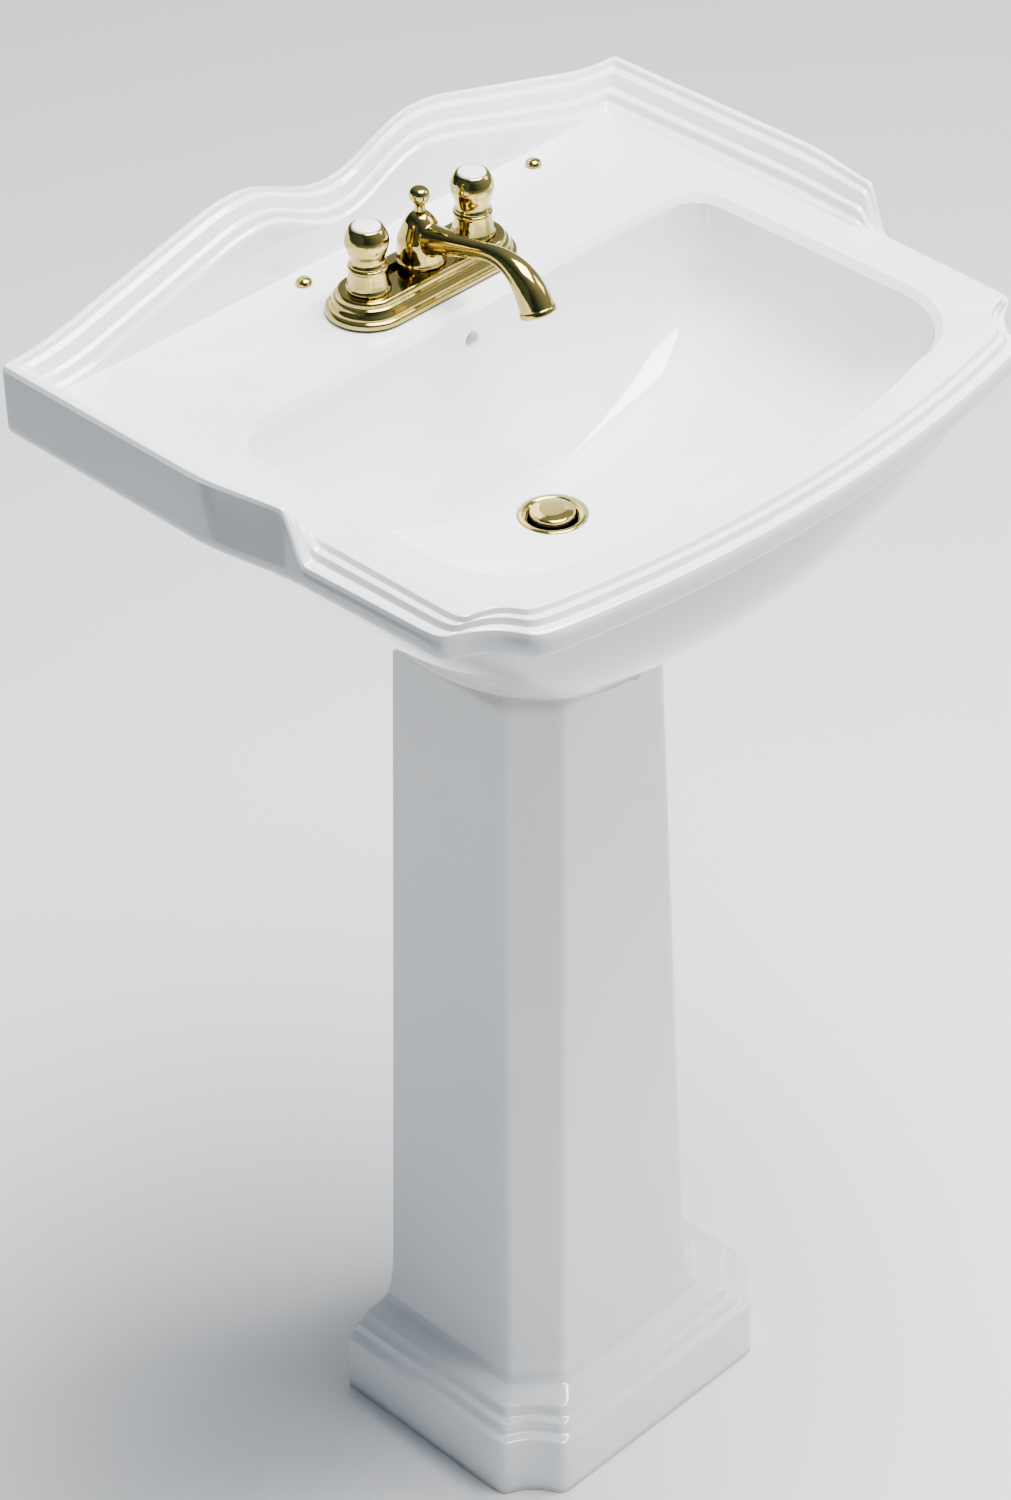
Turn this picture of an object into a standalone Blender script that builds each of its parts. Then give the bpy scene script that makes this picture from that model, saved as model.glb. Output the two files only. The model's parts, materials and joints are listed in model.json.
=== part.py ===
# Pedestal sink: a vitreous china basin on a hollow pedestal, with a brass two-handle tap,
# a pop-up waste and an S-trap that runs down behind the column to the floor.
# Z is up, the floor is Z = 0, the wall is the plane Y = +depth / 2 and the user stands at -Y.

import math

import bmesh
import bpy
import numpy as np
from mathutils import Vector

MM = 0.001

# ---- overall sizes ----
OVERALL_WIDTH = 483 * MM        # across the two side upstands
OVERALL_DEPTH = 381 * MM        # wall to the middle of the bowed front
PEDESTAL_HEIGHT = 589.7 * MM    # floor to the seat that carries the basin
GAP = 0.3 * MM                  # clearance between pieces that touch

# ---- basin heights, above its own foot ----
BASIN_HEIGHT = 192 * MM         # foot of the basin to the deck
BACKSPLASH_RISE = 56 * MM       # deck to the two shoulders of the backsplash
BACKSPLASH_DIP = 20 * MM        # how far the middle of the backsplash dips
UPSTAND_RISE = 21 * MM          # deck to the top of the side upstands
RIM_DROP = 8 * MM               # deck down to the outer edge of the front rim
SLAB_DEPTH = 24 * MM            # deck down to the underside of the slab
BOWL_DEPTH = 110 * MM           # deck down to the waste

# ---- basin plan ----
UPSTAND_THICKNESS = 28.5 * MM
BACKSPLASH_THICKNESS = 19 * MM
RIM_MOULDING = 14 * MM          # width of the stepped edge along the front
UPSTAND_LENGTH = 228 * MM       # wall to the front end of the side upstands
SIDE_INSET = 10.5 * MM          # the sides step in where the upstands end
SIDE_TAPER = 3.7 * MM           # and narrow a little more towards the front
SHOULDER_X = 70 * MM            # centre line to the shoulders of the backsplash
SHOULDER_ROUND = 30 * MM
CORNER_FLARE = 46.5 * MM
FRONT_BOW = 21 * MM             # the front edge swells this far forward
CORNER_CUT = 37 * MM            # size of the scalloped front corners, along each side
CORNER_SCALLOP = 6.5 * MM       # depth of the scallop
SIDE_RIM = 59 * MM              # outer side to the edge of the bowl
FRONT_RIM = 32 * MM             # front edge to the edge of the bowl
LEDGE = 118.5 * MM              # wall to the back edge of the bowl
CHINA = 12 * MM                 # thickness of the china walls
APRON_SIDE = 27.5 * MM          # outer side to the top of the apron
APRON_FRONT = 27 * MM
APRON_BACK = 105 * MM           # wall to the back of the apron
APRON_CORNER = (35 * MM, 92.5 * MM)   # its round front corners, across and along
FOOT_HALF = 77 * MM             # the foot that overhangs the top of the column
FOOT_BACK = 112 * MM            # from the wall
FOOT_OVERHANG = 20.5 * MM       # front of the foot beyond the column
FOOT_CORNER = (72 * MM, 90 * MM)    # its long round corners, across and along

# ---- waste, tap and wall fixings, from the wall and the centre line ----
WASTE_FROM_WALL = 181 * MM
WASTE_HOLE = 17 * MM            # radius
TAP_FROM_WALL = 79.4 * MM
HANDLE_X = 41.2 * MM
TAP_HOLE = 12 * MM              # radius
OVERFLOW_DROP = 21 * MM         # deck to the overflow hole
OVERFLOW_RADIUS = 5 * MM
FIXING_X = (-47 * MM, 138 * MM)
FIXING_FROM_WALL = 32 * MM
FIXING_HOLE = 3.6 * MM          # radius
OVERFLOW_PORT = 7.2 * MM        # waste to the slot where the overflow joins it

# ---- pedestal ----
COLUMN_TOP_WIDTH = 133 * MM
COLUMN_FOOT_WIDTH = 169 * MM    # where the column would meet the floor
COLUMN_REACH = 47.5 * MM        # waste to the front of the column at its top
COLUMN_BACK_TOP = 115.4 * MM
COLUMN_FRONT_FLARE = 12 * MM
COLUMN_CHAMFER = 25.5 * MM
PEDESTAL_WALL = 13 * MM
PLINTH_WIDTH = 235.5 * MM
PLINTH_REACH = 42 * MM          # front of the plinth beyond the top of the column
PLINTH_BACK = 100.5 * MM
PLINTH_HEIGHT = 44.5 * MM
PLINTH_CORNER = 28 * MM
PLINTH_SCALLOP = 5 * MM

# ---- places that follow from the sizes above ----
COLUMN_FRONT_TOP = WASTE_FROM_WALL + COLUMN_REACH
PLINTH_FRONT = COLUMN_FRONT_TOP + PLINTH_REACH
FOOT_FRONT = COLUMN_FRONT_TOP + FOOT_OVERHANG
WALL_Y = OVERALL_DEPTH / 2
HALF_WIDTH = OVERALL_WIDTH / 2
BASIN_FOOT_Z = PEDESTAL_HEIGHT + GAP
DECK_Z = BASIN_FOOT_Z + BASIN_HEIGHT
SLAB_Z = DECK_Z - SLAB_DEPTH
WASTE_Z = DECK_Z - BOWL_DEPTH
WASTE_Y = WALL_Y - WASTE_FROM_WALL
TAP_Y = WALL_Y - TAP_FROM_WALL

# ---- number of steps round each stretch of the basin's outline ----
BACK_STEPS, SIDE_STEPS, FRONT_STEPS, CORNER_STEPS, BACK_CORNER_STEPS = 22, 13, 12, 6, 4


# ======================= general tools =======================

def clear_scene():
    for item in list(bpy.data.objects):
        bpy.data.objects.remove(item, do_unlink=True)


def make_material(name, colour, roughness, metallic=0.0):
    material = bpy.data.materials.new(name)
    material.use_nodes = True
    shader = material.node_tree.nodes["Principled BSDF"]
    shader.inputs["Base Color"].default_value = (*colour, 1.0)
    shader.inputs["Roughness"].default_value = roughness
    shader.inputs["Metallic"].default_value = metallic
    material.diffuse_color = (*colour, 1.0)
    return material


def add_object(name, bm, material, smooth_angle=35.0):
    """Turn a bmesh into a named object with outward faces and smooth shading."""
    bmesh.ops.remove_doubles(bm, verts=bm.verts, dist=1e-6)
    bmesh.ops.recalc_face_normals(bm, faces=bm.faces)
    mesh = bpy.data.meshes.new(name)
    bm.to_mesh(mesh)
    bm.free()
    mesh.shade_smooth()
    mesh.set_sharp_from_angle(angle=math.radians(smooth_angle))
    item = bpy.data.objects.new(name, mesh)
    bpy.context.scene.collection.objects.link(item)
    if material is not None:
        mesh.materials.append(material)
    return item


def skin_rings(bm, rings, closed):
    """Join equal rings of points with quads; closed joins the last ring to the first."""
    loops = [[bm.verts.new(point) for point in ring] for ring in rings]
    pairs = list(zip(loops, loops[1:]))
    if closed:
        pairs.append((loops[-1], loops[0]))
    for low, high in pairs:
        for i in range(len(low)):
            j = (i + 1) % len(low)
            bm.faces.new((low[i], low[j], high[j], high[i]))
    if not closed:
        bm.faces.new(loops[0][::-1])
        bm.faces.new(loops[-1])


def ring_solid(name, rings, material, closed=True, smooth_angle=35.0):
    """A solid through rings: closed makes a hollow ring-like piece, else the ends are capped."""
    bm = bmesh.new()
    skin_rings(bm, rings, closed)
    return add_object(name, bm, material, smooth_angle)


def turned(name, profile, centre, material, segments=24, axis=(0, 0, 1), smooth_angle=35.0):
    """Spin a closed profile of (radius, height) points about an axis through centre."""
    direction = Vector(axis).normalized()
    side = direction.orthogonal().normalized()
    bm = bmesh.new()
    verts = [bm.verts.new(Vector(centre) + side * r + direction * h) for r, h in profile]
    edges = []
    for i in range(len(profile)):
        j = (i + 1) % len(profile)
        if profile[i][0] > 0 or profile[j][0] > 0:
            edges.append(bm.edges.new((verts[i], verts[j])))
    bmesh.ops.spin(bm, geom=verts + edges, cent=centre, axis=direction, dvec=(0, 0, 0),
                   angle=math.tau, steps=segments, use_merge=True, use_duplicate=False)
    bmesh.ops.remove_doubles(bm, verts=bm.verts, dist=1e-6)
    bmesh.ops.dissolve_degenerate(bm, dist=1e-6, edges=bm.edges)
    return add_object(name, bm, material, smooth_angle)


def washer(name, centre, outer, inner, thickness, material, segments=24):
    """A flat ring whose lower face is at centre."""
    profile = [(inner, 0), (outer, 0), (outer, thickness), (inner, thickness)]
    return turned(name, profile, centre, material, segments)


def hex_nut(name, centre, across_flats, bore, height, material, segments=24):
    """A hexagonal nut whose lower face is at centre; its flats are sampled at equal angles."""
    def hexagon(z, shrink=0.0):
        points = []
        for i in range(segments):
            angle = math.tau * i / segments
            corner = (angle + math.pi / 6) % (math.pi / 3) - math.pi / 6
            radius = (across_flats / 2 - shrink) / math.cos(corner)
            points.append((centre[0] + radius * math.cos(angle),
                           centre[1] + radius * math.sin(angle), centre[2] + z))
        return points

    def hole(z):
        return [(centre[0] + bore * math.cos(math.tau * i / segments),
                 centre[1] + bore * math.sin(math.tau * i / segments), centre[2] + z)
                for i in range(segments)]
    chamfer = min(0.8 * MM, height / 5)
    rings = [hexagon(0, chamfer), hexagon(chamfer), hexagon(height - chamfer),
             hexagon(height, chamfer), hole(height), hole(0)]
    return ring_solid(name, rings, material, smooth_angle=20.0)


def pipe_rings(path, radii, segments):
    """Circles of the given radii about a path that lies in a plane of constant X."""
    rings = []
    for i, point in enumerate(path):
        ahead = Vector(path[min(i + 1, len(path) - 1)])
        behind = Vector(path[max(i - 1, 0)])
        tangent = (ahead - behind).normalized()
        across = Vector((1, 0, 0))
        up = tangent.cross(across)
        rings.append([Vector(point) + radii[i] * (math.cos(math.tau * k / segments) * across
                                                  + math.sin(math.tau * k / segments) * up)
                      for k in range(segments)])
    return rings


def pipe(name, path, outer, inner, material, segments=20):
    """A hollow pipe along a path: the outer rings one way and the inner rings back."""
    outside = pipe_rings(path, [outer] * len(path), segments)
    inside = pipe_rings(path, [inner] * len(path), segments)
    return ring_solid(name, outside + inside[::-1], material)


def box_cutter(name, low, high):
    bm = bmesh.new()
    bmesh.ops.create_cube(bm, size=1.0)
    for vert in bm.verts:
        for k in range(3):
            vert.co[k] = (low[k] + high[k]) / 2 + vert.co[k] * (high[k] - low[k])
    return as_cutter(add_object(name, bm, None))


def rod_cutter(name, start, end, radius, segments=20):
    """A plain cylinder from start to end, for cutting a hole."""
    start, end = Vector(start), Vector(end)
    length = (end - start).length
    profile = [(0, 0), (radius, 0), (radius, length), (0, length)]
    return as_cutter(turned(name, profile, start, None, segments, end - start))


def as_cutter(item):
    item.hide_render = True
    item.hide_set(True)
    item.display_type = "WIRE"
    return item


def cut(item, cutter, operation="DIFFERENCE", solver="EXACT"):
    modifier = item.modifiers.new(f"{operation.lower()}_{cutter.name}", "BOOLEAN")
    modifier.operation = operation
    modifier.solver = solver
    modifier.object = cutter


# ======================= outlines =======================

def smooth(t):
    t = np.clip(t, 0.0, 1.0)
    return t * t * (3 - 2 * t)


def rounded_half(half_width, back, front, back_radius, front_radius, bow, front_length=None):
    """Right half of a rounded rectangle; back and front are distances from the wall.
    front_length makes the front corners elliptical: longer from back to front than across."""
    length = front_length or front_radius
    steps = BACK_STEPS // 2
    x = np.linspace(0, half_width - back_radius, steps + 1)
    rows = [np.stack([x, np.full_like(x, back)], axis=1)]
    angle = np.linspace(0, math.pi / 2, BACK_CORNER_STEPS + 1)[1:]
    rows.append(np.stack([half_width - back_radius + back_radius * np.sin(angle),
                          back + back_radius - back_radius * np.cos(angle)], axis=1))
    corner = front - bow
    y = np.linspace(back + back_radius, corner - length, SIDE_STEPS + 1)[1:]
    rows.append(np.stack([np.full_like(y, half_width), y], axis=1))
    angle = np.linspace(0, math.pi / 2, CORNER_STEPS + 1)[1:]
    rows.append(np.stack([half_width - front_radius + front_radius * np.cos(angle),
                          corner - length + length * np.sin(angle)], axis=1))
    edge = half_width - front_radius
    x = np.linspace(edge, 0, FRONT_STEPS // 2 + 1)[1:]
    rows.append(np.stack([x, front - bow * (x / edge) ** 2], axis=1))
    return np.vstack(rows)


def scalloped_half(half_width_at, back, side_end, front_end, front, scallop, back_radius):
    """Right half of the slab's outline, with a hollow scallop across the front corner.
    side_end and front_end are the (x, distance) points where the scallop starts and ends."""
    steps = BACK_STEPS // 2
    start = half_width_at(back)
    x = np.linspace(0, start - back_radius, steps + 1)
    rows = [np.stack([x, np.full_like(x, back)], axis=1)]
    angle = np.linspace(0, math.pi / 2, BACK_CORNER_STEPS + 1)[1:]
    rows.append(np.stack([start - back_radius + back_radius * np.sin(angle),
                          back + back_radius - back_radius * np.cos(angle)], axis=1))
    y = side_stations(back + back_radius, side_end[1])
    rows.append(np.stack([np.array([half_width_at(d) for d in y]), y], axis=1))
    t = np.linspace(0, 1, CORNER_STEPS + 1)[1:]
    chord = np.outer(1 - t, side_end) + np.outer(t, front_end)
    hollow = scallop * np.sin(math.pi * t) / math.sqrt(2)
    rows.append(chord - hollow[:, None])
    x = np.linspace(front_end[0], 0, FRONT_STEPS // 2 + 1)[1:]
    bow = front - front_end[1]
    rows.append(np.stack([x, front - bow * (x / front_end[0]) ** 2], axis=1))
    return np.vstack(rows)


def side_stations(start, end):
    """Distances from the wall along a side, close together where the upstand ends."""
    before = np.linspace(start, UPSTAND_LENGTH - 24 * MM, SIDE_STEPS - 6)[1:]
    drop = UPSTAND_LENGTH + np.array([-15, -9, -5, 0]) * MM
    after = np.linspace(UPSTAND_LENGTH, end, SIDE_STEPS - len(before) - 4 + 1)[1:]
    return np.concatenate([before, drop, after])


def side_half_width(distance):
    """Half width of the slab: straight along the upstands, then stepping and tapering in."""
    step = smooth((distance - (UPSTAND_LENGTH - 78 * MM)) / (78 * MM))
    front = OVERALL_DEPTH - FRONT_BOW - CORNER_CUT
    taper = np.clip((distance - UPSTAND_LENGTH) / (front - UPSTAND_LENGTH), 0, 1)
    return float(HALF_WIDTH - SIDE_INSET * step - SIDE_TAPER * taper)


def slab_outline(inset):
    """The slab's edge (inset 0) or, for inset 1, the inner line of its mouldings."""
    corner_y = OVERALL_DEPTH - FRONT_BOW
    side_x = side_half_width(corner_y - CORNER_CUT)
    outer = scalloped_half(side_half_width, 0.0, (side_x, corner_y - CORNER_CUT),
                           (side_x - CORNER_CUT, corner_y), OVERALL_DEPTH,
                           CORNER_SCALLOP, 3 * MM)
    inner_x = HALF_WIDTH - UPSTAND_THICKNESS
    shift = RIM_MOULDING
    inner = scalloped_half(lambda distance: inner_x, BACKSPLASH_THICKNESS,
                           (inner_x, corner_y - CORNER_CUT + 0.42 * shift),
                           (side_x - CORNER_CUT - 0.42 * shift, corner_y - shift),
                           OVERALL_DEPTH - shift, CORNER_SCALLOP, 3 * MM)
    return outer + (inner - outer) * inset


def ring_at(half, z):
    """A whole ring in space from its right half of (x, distance from wall); z may vary along it."""
    z = np.broadcast_to(z, (len(half),))
    right = np.stack([half[:, 0], WALL_Y - half[:, 1], z], axis=1)
    left = right[1:-1][::-1] * np.array([-1, 1, 1])
    return np.vstack([right, left])


def backsplash_top(x):
    """Height of the backsplash's outline: a dip between two shoulders, falling to the corners."""
    x = abs(x)
    if x < SHOULDER_X:
        return DECK_Z + BACKSPLASH_RISE - BACKSPLASH_DIP * (1 + math.cos(math.pi * x / SHOULDER_X)) / 2
    straight = HALF_WIDTH - SHOULDER_X - SHOULDER_ROUND - CORNER_FLARE
    slope = (BACKSPLASH_RISE - UPSTAND_RISE) / (SHOULDER_ROUND / 2 + straight + CORNER_FLARE / 2)
    run = x - SHOULDER_X
    drop = slope * min(run, SHOULDER_ROUND) ** 2 / (2 * SHOULDER_ROUND)
    drop += slope * min(max(run - SHOULDER_ROUND, 0), straight)
    flare = min(max(run - SHOULDER_ROUND - straight, 0), CORNER_FLARE)
    drop += slope * (flare - flare ** 2 / (2 * CORNER_FLARE))
    return DECK_Z + BACKSPLASH_RISE - drop


def edge_heights(outline):
    """Top of the backsplash or upstand at each outline point, and how much of it is left there."""
    heights, raised = [], []
    for x, distance in outline:
        if distance < 4 * MM:
            heights.append(backsplash_top(x))
            raised.append(1.0)
        else:
            fade = 1 - smooth((distance - (UPSTAND_LENGTH - 16 * MM)) / (16 * MM))
            heights.append(DECK_Z + UPSTAND_RISE)
            raised.append(float(fade))
    return np.array(heights), np.array(raised)


# ======================= china =======================

def basin_top_rings():
    """The stepped top of the slab, from its outer edge to the flat deck."""
    outline = slab_outline(0)
    top, raised = edge_heights(outline)
    rim = DECK_Z - RIM_DROP
    # fraction across the moulding, drop below an upstand's top, rise above the front rim's edge
    steps = [(0.00, 2.5, -3.0), (0.07, 0.0, -0.4), (0.24, 0.0, 0.2), (0.30, 3.5, 0.4),
             (0.50, 5.0, 0.6), (0.60, 12.0, 4.2), (0.78, 13.0, 4.6), (0.90, 19.0, 7.6)]
    rings = []
    for fraction, drop, rise in steps:
        high = np.maximum(top - drop * MM, DECK_Z + 1.0 * MM)
        z = raised * high + (1 - raised) * (rim + rise * MM)
        rings.append(ring_at(slab_outline(fraction), z))
    rings.append(ring_at(slab_outline(1.0), DECK_Z))
    return rings


def bowl_half(depth_share):
    """Right half of the bowl's outline at a share of its depth, 0 at the deck and 1 at the waste."""
    side = (1 - depth_share ** 3.2) ** 0.6
    front = (1 - depth_share ** 2) ** 0.75
    back = (1 - depth_share ** 2.2) ** 0.7
    seat = 26 * MM
    half = seat + (HALF_WIDTH - SIDE_RIM - seat) * side
    front_line = WASTE_FROM_WALL + seat
    front_line += (OVERALL_DEPTH - FRONT_RIM - front_line) * front
    back_line = WASTE_FROM_WALL - seat
    back_line += (LEDGE - back_line) * back
    back_radius = 22 * MM * side + seat * 0.8 * (1 - side)
    front_radius = 55 * MM * side + seat * 0.8 * (1 - side)
    return rounded_half(half, back_line, front_line, back_radius, front_radius, 16 * MM * side)


def bowl_rings():
    """The lip and the inside of the bowl, down to a circle round the waste."""
    rings = []
    lip = bowl_half(0.0)
    centre = np.array([0.0, WASTE_FROM_WALL])
    for grow, drop in ((5, 0.0), (1.5, 1.0), (0, 4.5)):
        spread = lip - centre
        length = np.linalg.norm(spread, axis=1, keepdims=True)
        rings.append(ring_at(lip + spread / length * grow * MM, DECK_Z - drop * MM))
    for share in (0.17, 0.36, 0.58, 0.76, 0.88, 0.95):
        rings.append(ring_at(bowl_half(share), DECK_Z - BOWL_DEPTH * share))
    recess = 20.5 * MM
    rings.append(waste_circle(rings[-1], recess, WASTE_Z))
    rings.append(waste_circle(rings[-1], recess, WASTE_Z - 2.5 * MM))
    rings.append(waste_circle(rings[-1], WASTE_HOLE, WASTE_Z - 2.5 * MM))
    return rings


def waste_circle(ring, radius, z):
    """The points of a ring drawn in radially to a circle about the waste."""
    centre = np.array([0.0, WASTE_Y])
    spread = ring[:, :2] - centre
    spread = spread / np.linalg.norm(spread, axis=1, keepdims=True)
    flat = centre + spread * radius
    return np.column_stack([flat, np.full(len(flat), z)])


def foot_half():
    """The outside of the basin's foot, which overhangs the column."""
    return rounded_half(FOOT_HALF, FOOT_BACK, FOOT_FRONT, 14 * MM, FOOT_CORNER[0], 3 * MM,
                        FOOT_CORNER[1])


def seat_half():
    """The inside of the basin's foot, one wall's thickness inside the outside of the column."""
    return rounded_half(COLUMN_TOP_WIDTH / 2 - CHINA, COLUMN_BACK_TOP + CHINA,
                        COLUMN_FRONT_TOP - CHINA, 8 * MM, (COLUMN_CHAMFER - CHINA) * 0.9, 1 * MM)


def apron_half(height_share):
    """Right half of the apron at a share of its height, 0 at the foot and 1 under the slab.
    It slopes straight up at the back and swells into a belly towards the front."""
    top = rounded_half(HALF_WIDTH - APRON_SIDE, APRON_BACK, OVERALL_DEPTH - APRON_FRONT,
                       30 * MM, APRON_CORNER[0], 16 * MM, APRON_CORNER[1])
    slope = 1 - (1 - height_share) ** 1.18
    belly = (1 - (1 - height_share) ** 1.4) ** 1.2
    front_share = (1 - (1 - height_share) ** 3.7) ** 2.95
    side_share = slope + (belly - slope) * smooth((top[:, 1] - 150 * MM) / (150 * MM))
    foot = foot_half()
    blend = np.stack([side_share, np.full(len(top), front_share)], axis=1)
    return foot + (top - foot) * blend


def shrink(half, thickness):
    """Draw an outline in by a wall thickness, towards the waste."""
    centre = np.array([0.0, WASTE_FROM_WALL])
    spread = half - centre
    length = np.linalg.norm(spread, axis=1, keepdims=True)
    return centre + spread * (1 - thickness / length)


def basin_under_rings():
    """From the slab's outer edge down over the apron to the foot and up inside to the waste."""
    rings = [ring_at(slab_outline(0.0), SLAB_Z + 6 * MM),
             ring_at(slab_outline(0.10), SLAB_Z + 1.6 * MM),
             ring_at(slab_outline(0.30), SLAB_Z)]
    height = SLAB_Z - BASIN_FOOT_Z
    for share in (1.0, 0.92, 0.76, 0.58, 0.40, 0.22, 0.08, 0.0):
        rings.append(ring_at(apron_half(share), BASIN_FOOT_Z + height * share))
    rings.append(ring_at(seat_half(), BASIN_FOOT_Z))
    under_bowl = WASTE_Z - CHINA
    for share in (0.10, 0.26, 0.44):
        inside = shrink(apron_half(share), 1.25 * CHINA)
        rings.append(ring_at(inside, BASIN_FOOT_Z + height * share))
    rings.append(ring_at(shrink(apron_half(0.44), 2.6 * CHINA), under_bowl + 8 * MM))
    rings.append(waste_circle(rings[-1], 40 * MM, under_bowl))
    rings.append(waste_circle(rings[-1], WASTE_HOLE, under_bowl))
    return rings


def make_basin(china):
    """The basin is one casting: rings run over its top, down the bowl and back underneath."""
    rings = basin_top_rings() + bowl_rings() + basin_under_rings()[::-1]
    basin = ring_solid("basin", rings, china)
    pocket_front = APRON_BACK - 1.5 * MM
    pocket = box_cutter("deck_pocket",
                        (-HALF_WIDTH + 2 * APRON_SIDE, WALL_Y - pocket_front, SLAB_Z - 20 * MM),
                        (HALF_WIDTH - 2 * APRON_SIDE, WALL_Y - CHINA, DECK_Z - CHINA))
    window = box_cutter("pipe_window",
                        (-38 * MM, WALL_Y - COLUMN_BACK_TOP - 26 * MM, BASIN_FOOT_Z - 10 * MM),
                        (38 * MM, WALL_Y - APRON_BACK + 20 * MM, WASTE_Z - 24 * MM))
    cut(basin, pocket)
    cut(basin, window)
    for x in (-HANDLE_X, 0, HANDLE_X):
        hole = rod_cutter(f"tap_hole_{round(x / MM)}", (x, TAP_Y, DECK_Z - 30 * MM),
                          (x, TAP_Y, DECK_Z + 10 * MM), TAP_HOLE, 20)
        cut(basin, hole)
    for x in FIXING_X:
        hole = rod_cutter(f"fixing_hole_{round(x / MM)}",
                          (x, WALL_Y - FIXING_FROM_WALL, DECK_Z - 30 * MM),
                          (x, WALL_Y - FIXING_FROM_WALL, DECK_Z + 10 * MM), FIXING_HOLE, 12)
        cut(basin, hole)
    cut(basin, overflow_cutter())
    return basin


def overflow_cutter():
    """The overflow runs back into the wall of the bowl, down inside it and forward to the waste."""
    mouth_z = DECK_Z - OVERFLOW_DROP
    duct = LEDGE - 6 * MM
    route = [(LEDGE + 14 * MM, mouth_z), (LEDGE + 4 * MM, mouth_z), (duct, mouth_z - 8 * MM),
             (duct + 1 * MM, WASTE_Z + 58 * MM), (duct + 14 * MM, WASTE_Z + 17 * MM),
             (duct + 28 * MM, WASTE_Z + 5 * MM), (WASTE_FROM_WALL - 29 * MM, WASTE_Z - 5 * MM),
             (WASTE_FROM_WALL - WASTE_HOLE + 3 * MM, WASTE_Z - OVERFLOW_PORT)]
    path = [(0, WALL_Y - distance, z) for distance, z in route]
    narrow = 2.8 * MM
    radii = [OVERFLOW_RADIUS * 1.1, OVERFLOW_RADIUS] + [narrow] * 6
    rings = pipe_rings(path, radii, 10)
    return as_cutter(ring_solid("overflow_duct", rings, None, closed=False))


def pedestal_section(half, back, front, corner, scallop, steps=5):
    """Half round a pedestal section, from its back edge to its back edge, with cut front corners."""
    t = np.linspace(0, 1, steps + 1)
    start, end = np.array([half, front - corner]), np.array([half - corner, front])
    chord = np.outer(1 - t, start) + np.outer(t, end)
    chord = chord - (scallop * np.sin(math.pi * t) / math.sqrt(2))[:, None]
    right = np.vstack([[half, back], [half, (back + front) / 2], chord, [0, front]])
    left = right[:-1][::-1] * np.array([-1, 1])
    return np.vstack([right, left])


def column_half(z):
    return (COLUMN_FOOT_WIDTH + (COLUMN_TOP_WIDTH - COLUMN_FOOT_WIDTH) * z / PEDESTAL_HEIGHT) / 2


def column_front(z):
    return COLUMN_FRONT_TOP + COLUMN_FRONT_FLARE * (1 - z / PEDESTAL_HEIGHT)


def make_pedestal(china):
    """The pedestal is one casting, hollow and open at the back: plinth, three steps and column."""
    plinth_half, front = PLINTH_WIDTH / 2, PLINTH_FRONT
    foot = column_half(0) + 14 * MM
    column_back = COLUMN_BACK_TOP - 8 * MM
    step = (plinth_half - foot) / 5
    # inset from the plinth's edge, height
    levels = [(0, 0), (0, PLINTH_HEIGHT - 2 * MM), (0.8 * MM, PLINTH_HEIGHT),
              (step, PLINTH_HEIGHT + 1 * MM), (1.3 * step, PLINTH_HEIGHT + 7 * MM),
              (2.1 * step, PLINTH_HEIGHT + 8 * MM), (2.5 * step, PLINTH_HEIGHT + 14 * MM),
              (4.4 * step, PLINTH_HEIGHT + 19 * MM), (5.6 * step, PLINTH_HEIGHT + 25 * MM),
              (6.3 * step, PLINTH_HEIGHT + 35 * MM)]
    outer, inner = [], []
    for inset, z in levels:
        share = inset / (6.3 * step)
        back = PLINTH_BACK + (column_back - PLINTH_BACK) * share
        edge = front - inset - max(0, share - 0.5) * 8 * MM
        corner = PLINTH_CORNER + (COLUMN_CHAMFER - PLINTH_CORNER) * share
        outer.append((pedestal_section(plinth_half - inset, back, edge, corner,
                                       PLINTH_SCALLOP * (1 - share)), z))
    for z in (PLINTH_HEIGHT + 55 * MM, PEDESTAL_HEIGHT * 0.5, PEDESTAL_HEIGHT):
        back = column_back + (COLUMN_BACK_TOP - column_back) * z / PEDESTAL_HEIGHT
        outer.append((pedestal_section(column_half(z), back, column_front(z), COLUMN_CHAMFER, 0), z))
    wall = PEDESTAL_WALL
    hollow = [(plinth_half - wall, front - wall, 0), (plinth_half - wall - 4 * MM, front - wall - 4 * MM,
              PLINTH_HEIGHT - wall)]
    narrow = PLINTH_HEIGHT + 20 * MM
    for z in (narrow, PEDESTAL_HEIGHT * 0.5, PEDESTAL_HEIGHT):
        hollow.append((column_half(z) - wall, column_front(z) - wall, z))
    for half, edge, z in hollow:
        back = np.interp(z, [0, narrow, PEDESTAL_HEIGHT], [PLINTH_BACK, column_back, COLUMN_BACK_TOP])
        inner.append((pedestal_section(half, back, edge, COLUMN_CHAMFER - wall * 0.4, 0), z))
    bm = bmesh.new()
    outside = [[bm.verts.new((x, WALL_Y - d, z)) for x, d in section] for section, z in outer]
    inside = [[bm.verts.new((x, WALL_Y - d, z)) for x, d in section] for section, z in inner]
    last = len(outside[0]) - 1
    for rows in (outside, inside):
        for low, high in zip(rows, rows[1:]):
            for i in range(last):
                bm.faces.new((low[i], low[i + 1], high[i + 1], high[i]))
    for i in range(last):
        bm.faces.new((outside[0][i], outside[0][i + 1], inside[0][i + 1], inside[0][i]))
        bm.faces.new((outside[-1][i], outside[-1][i + 1], inside[-1][i + 1], inside[-1][i]))
    for end in (0, last):
        rim = [row[end] for row in outside] + [row[end] for row in inside[::-1]]
        bm.faces.new(rim)
    return add_object("pedestal", bm, china)


# ======================= tap =======================

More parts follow.
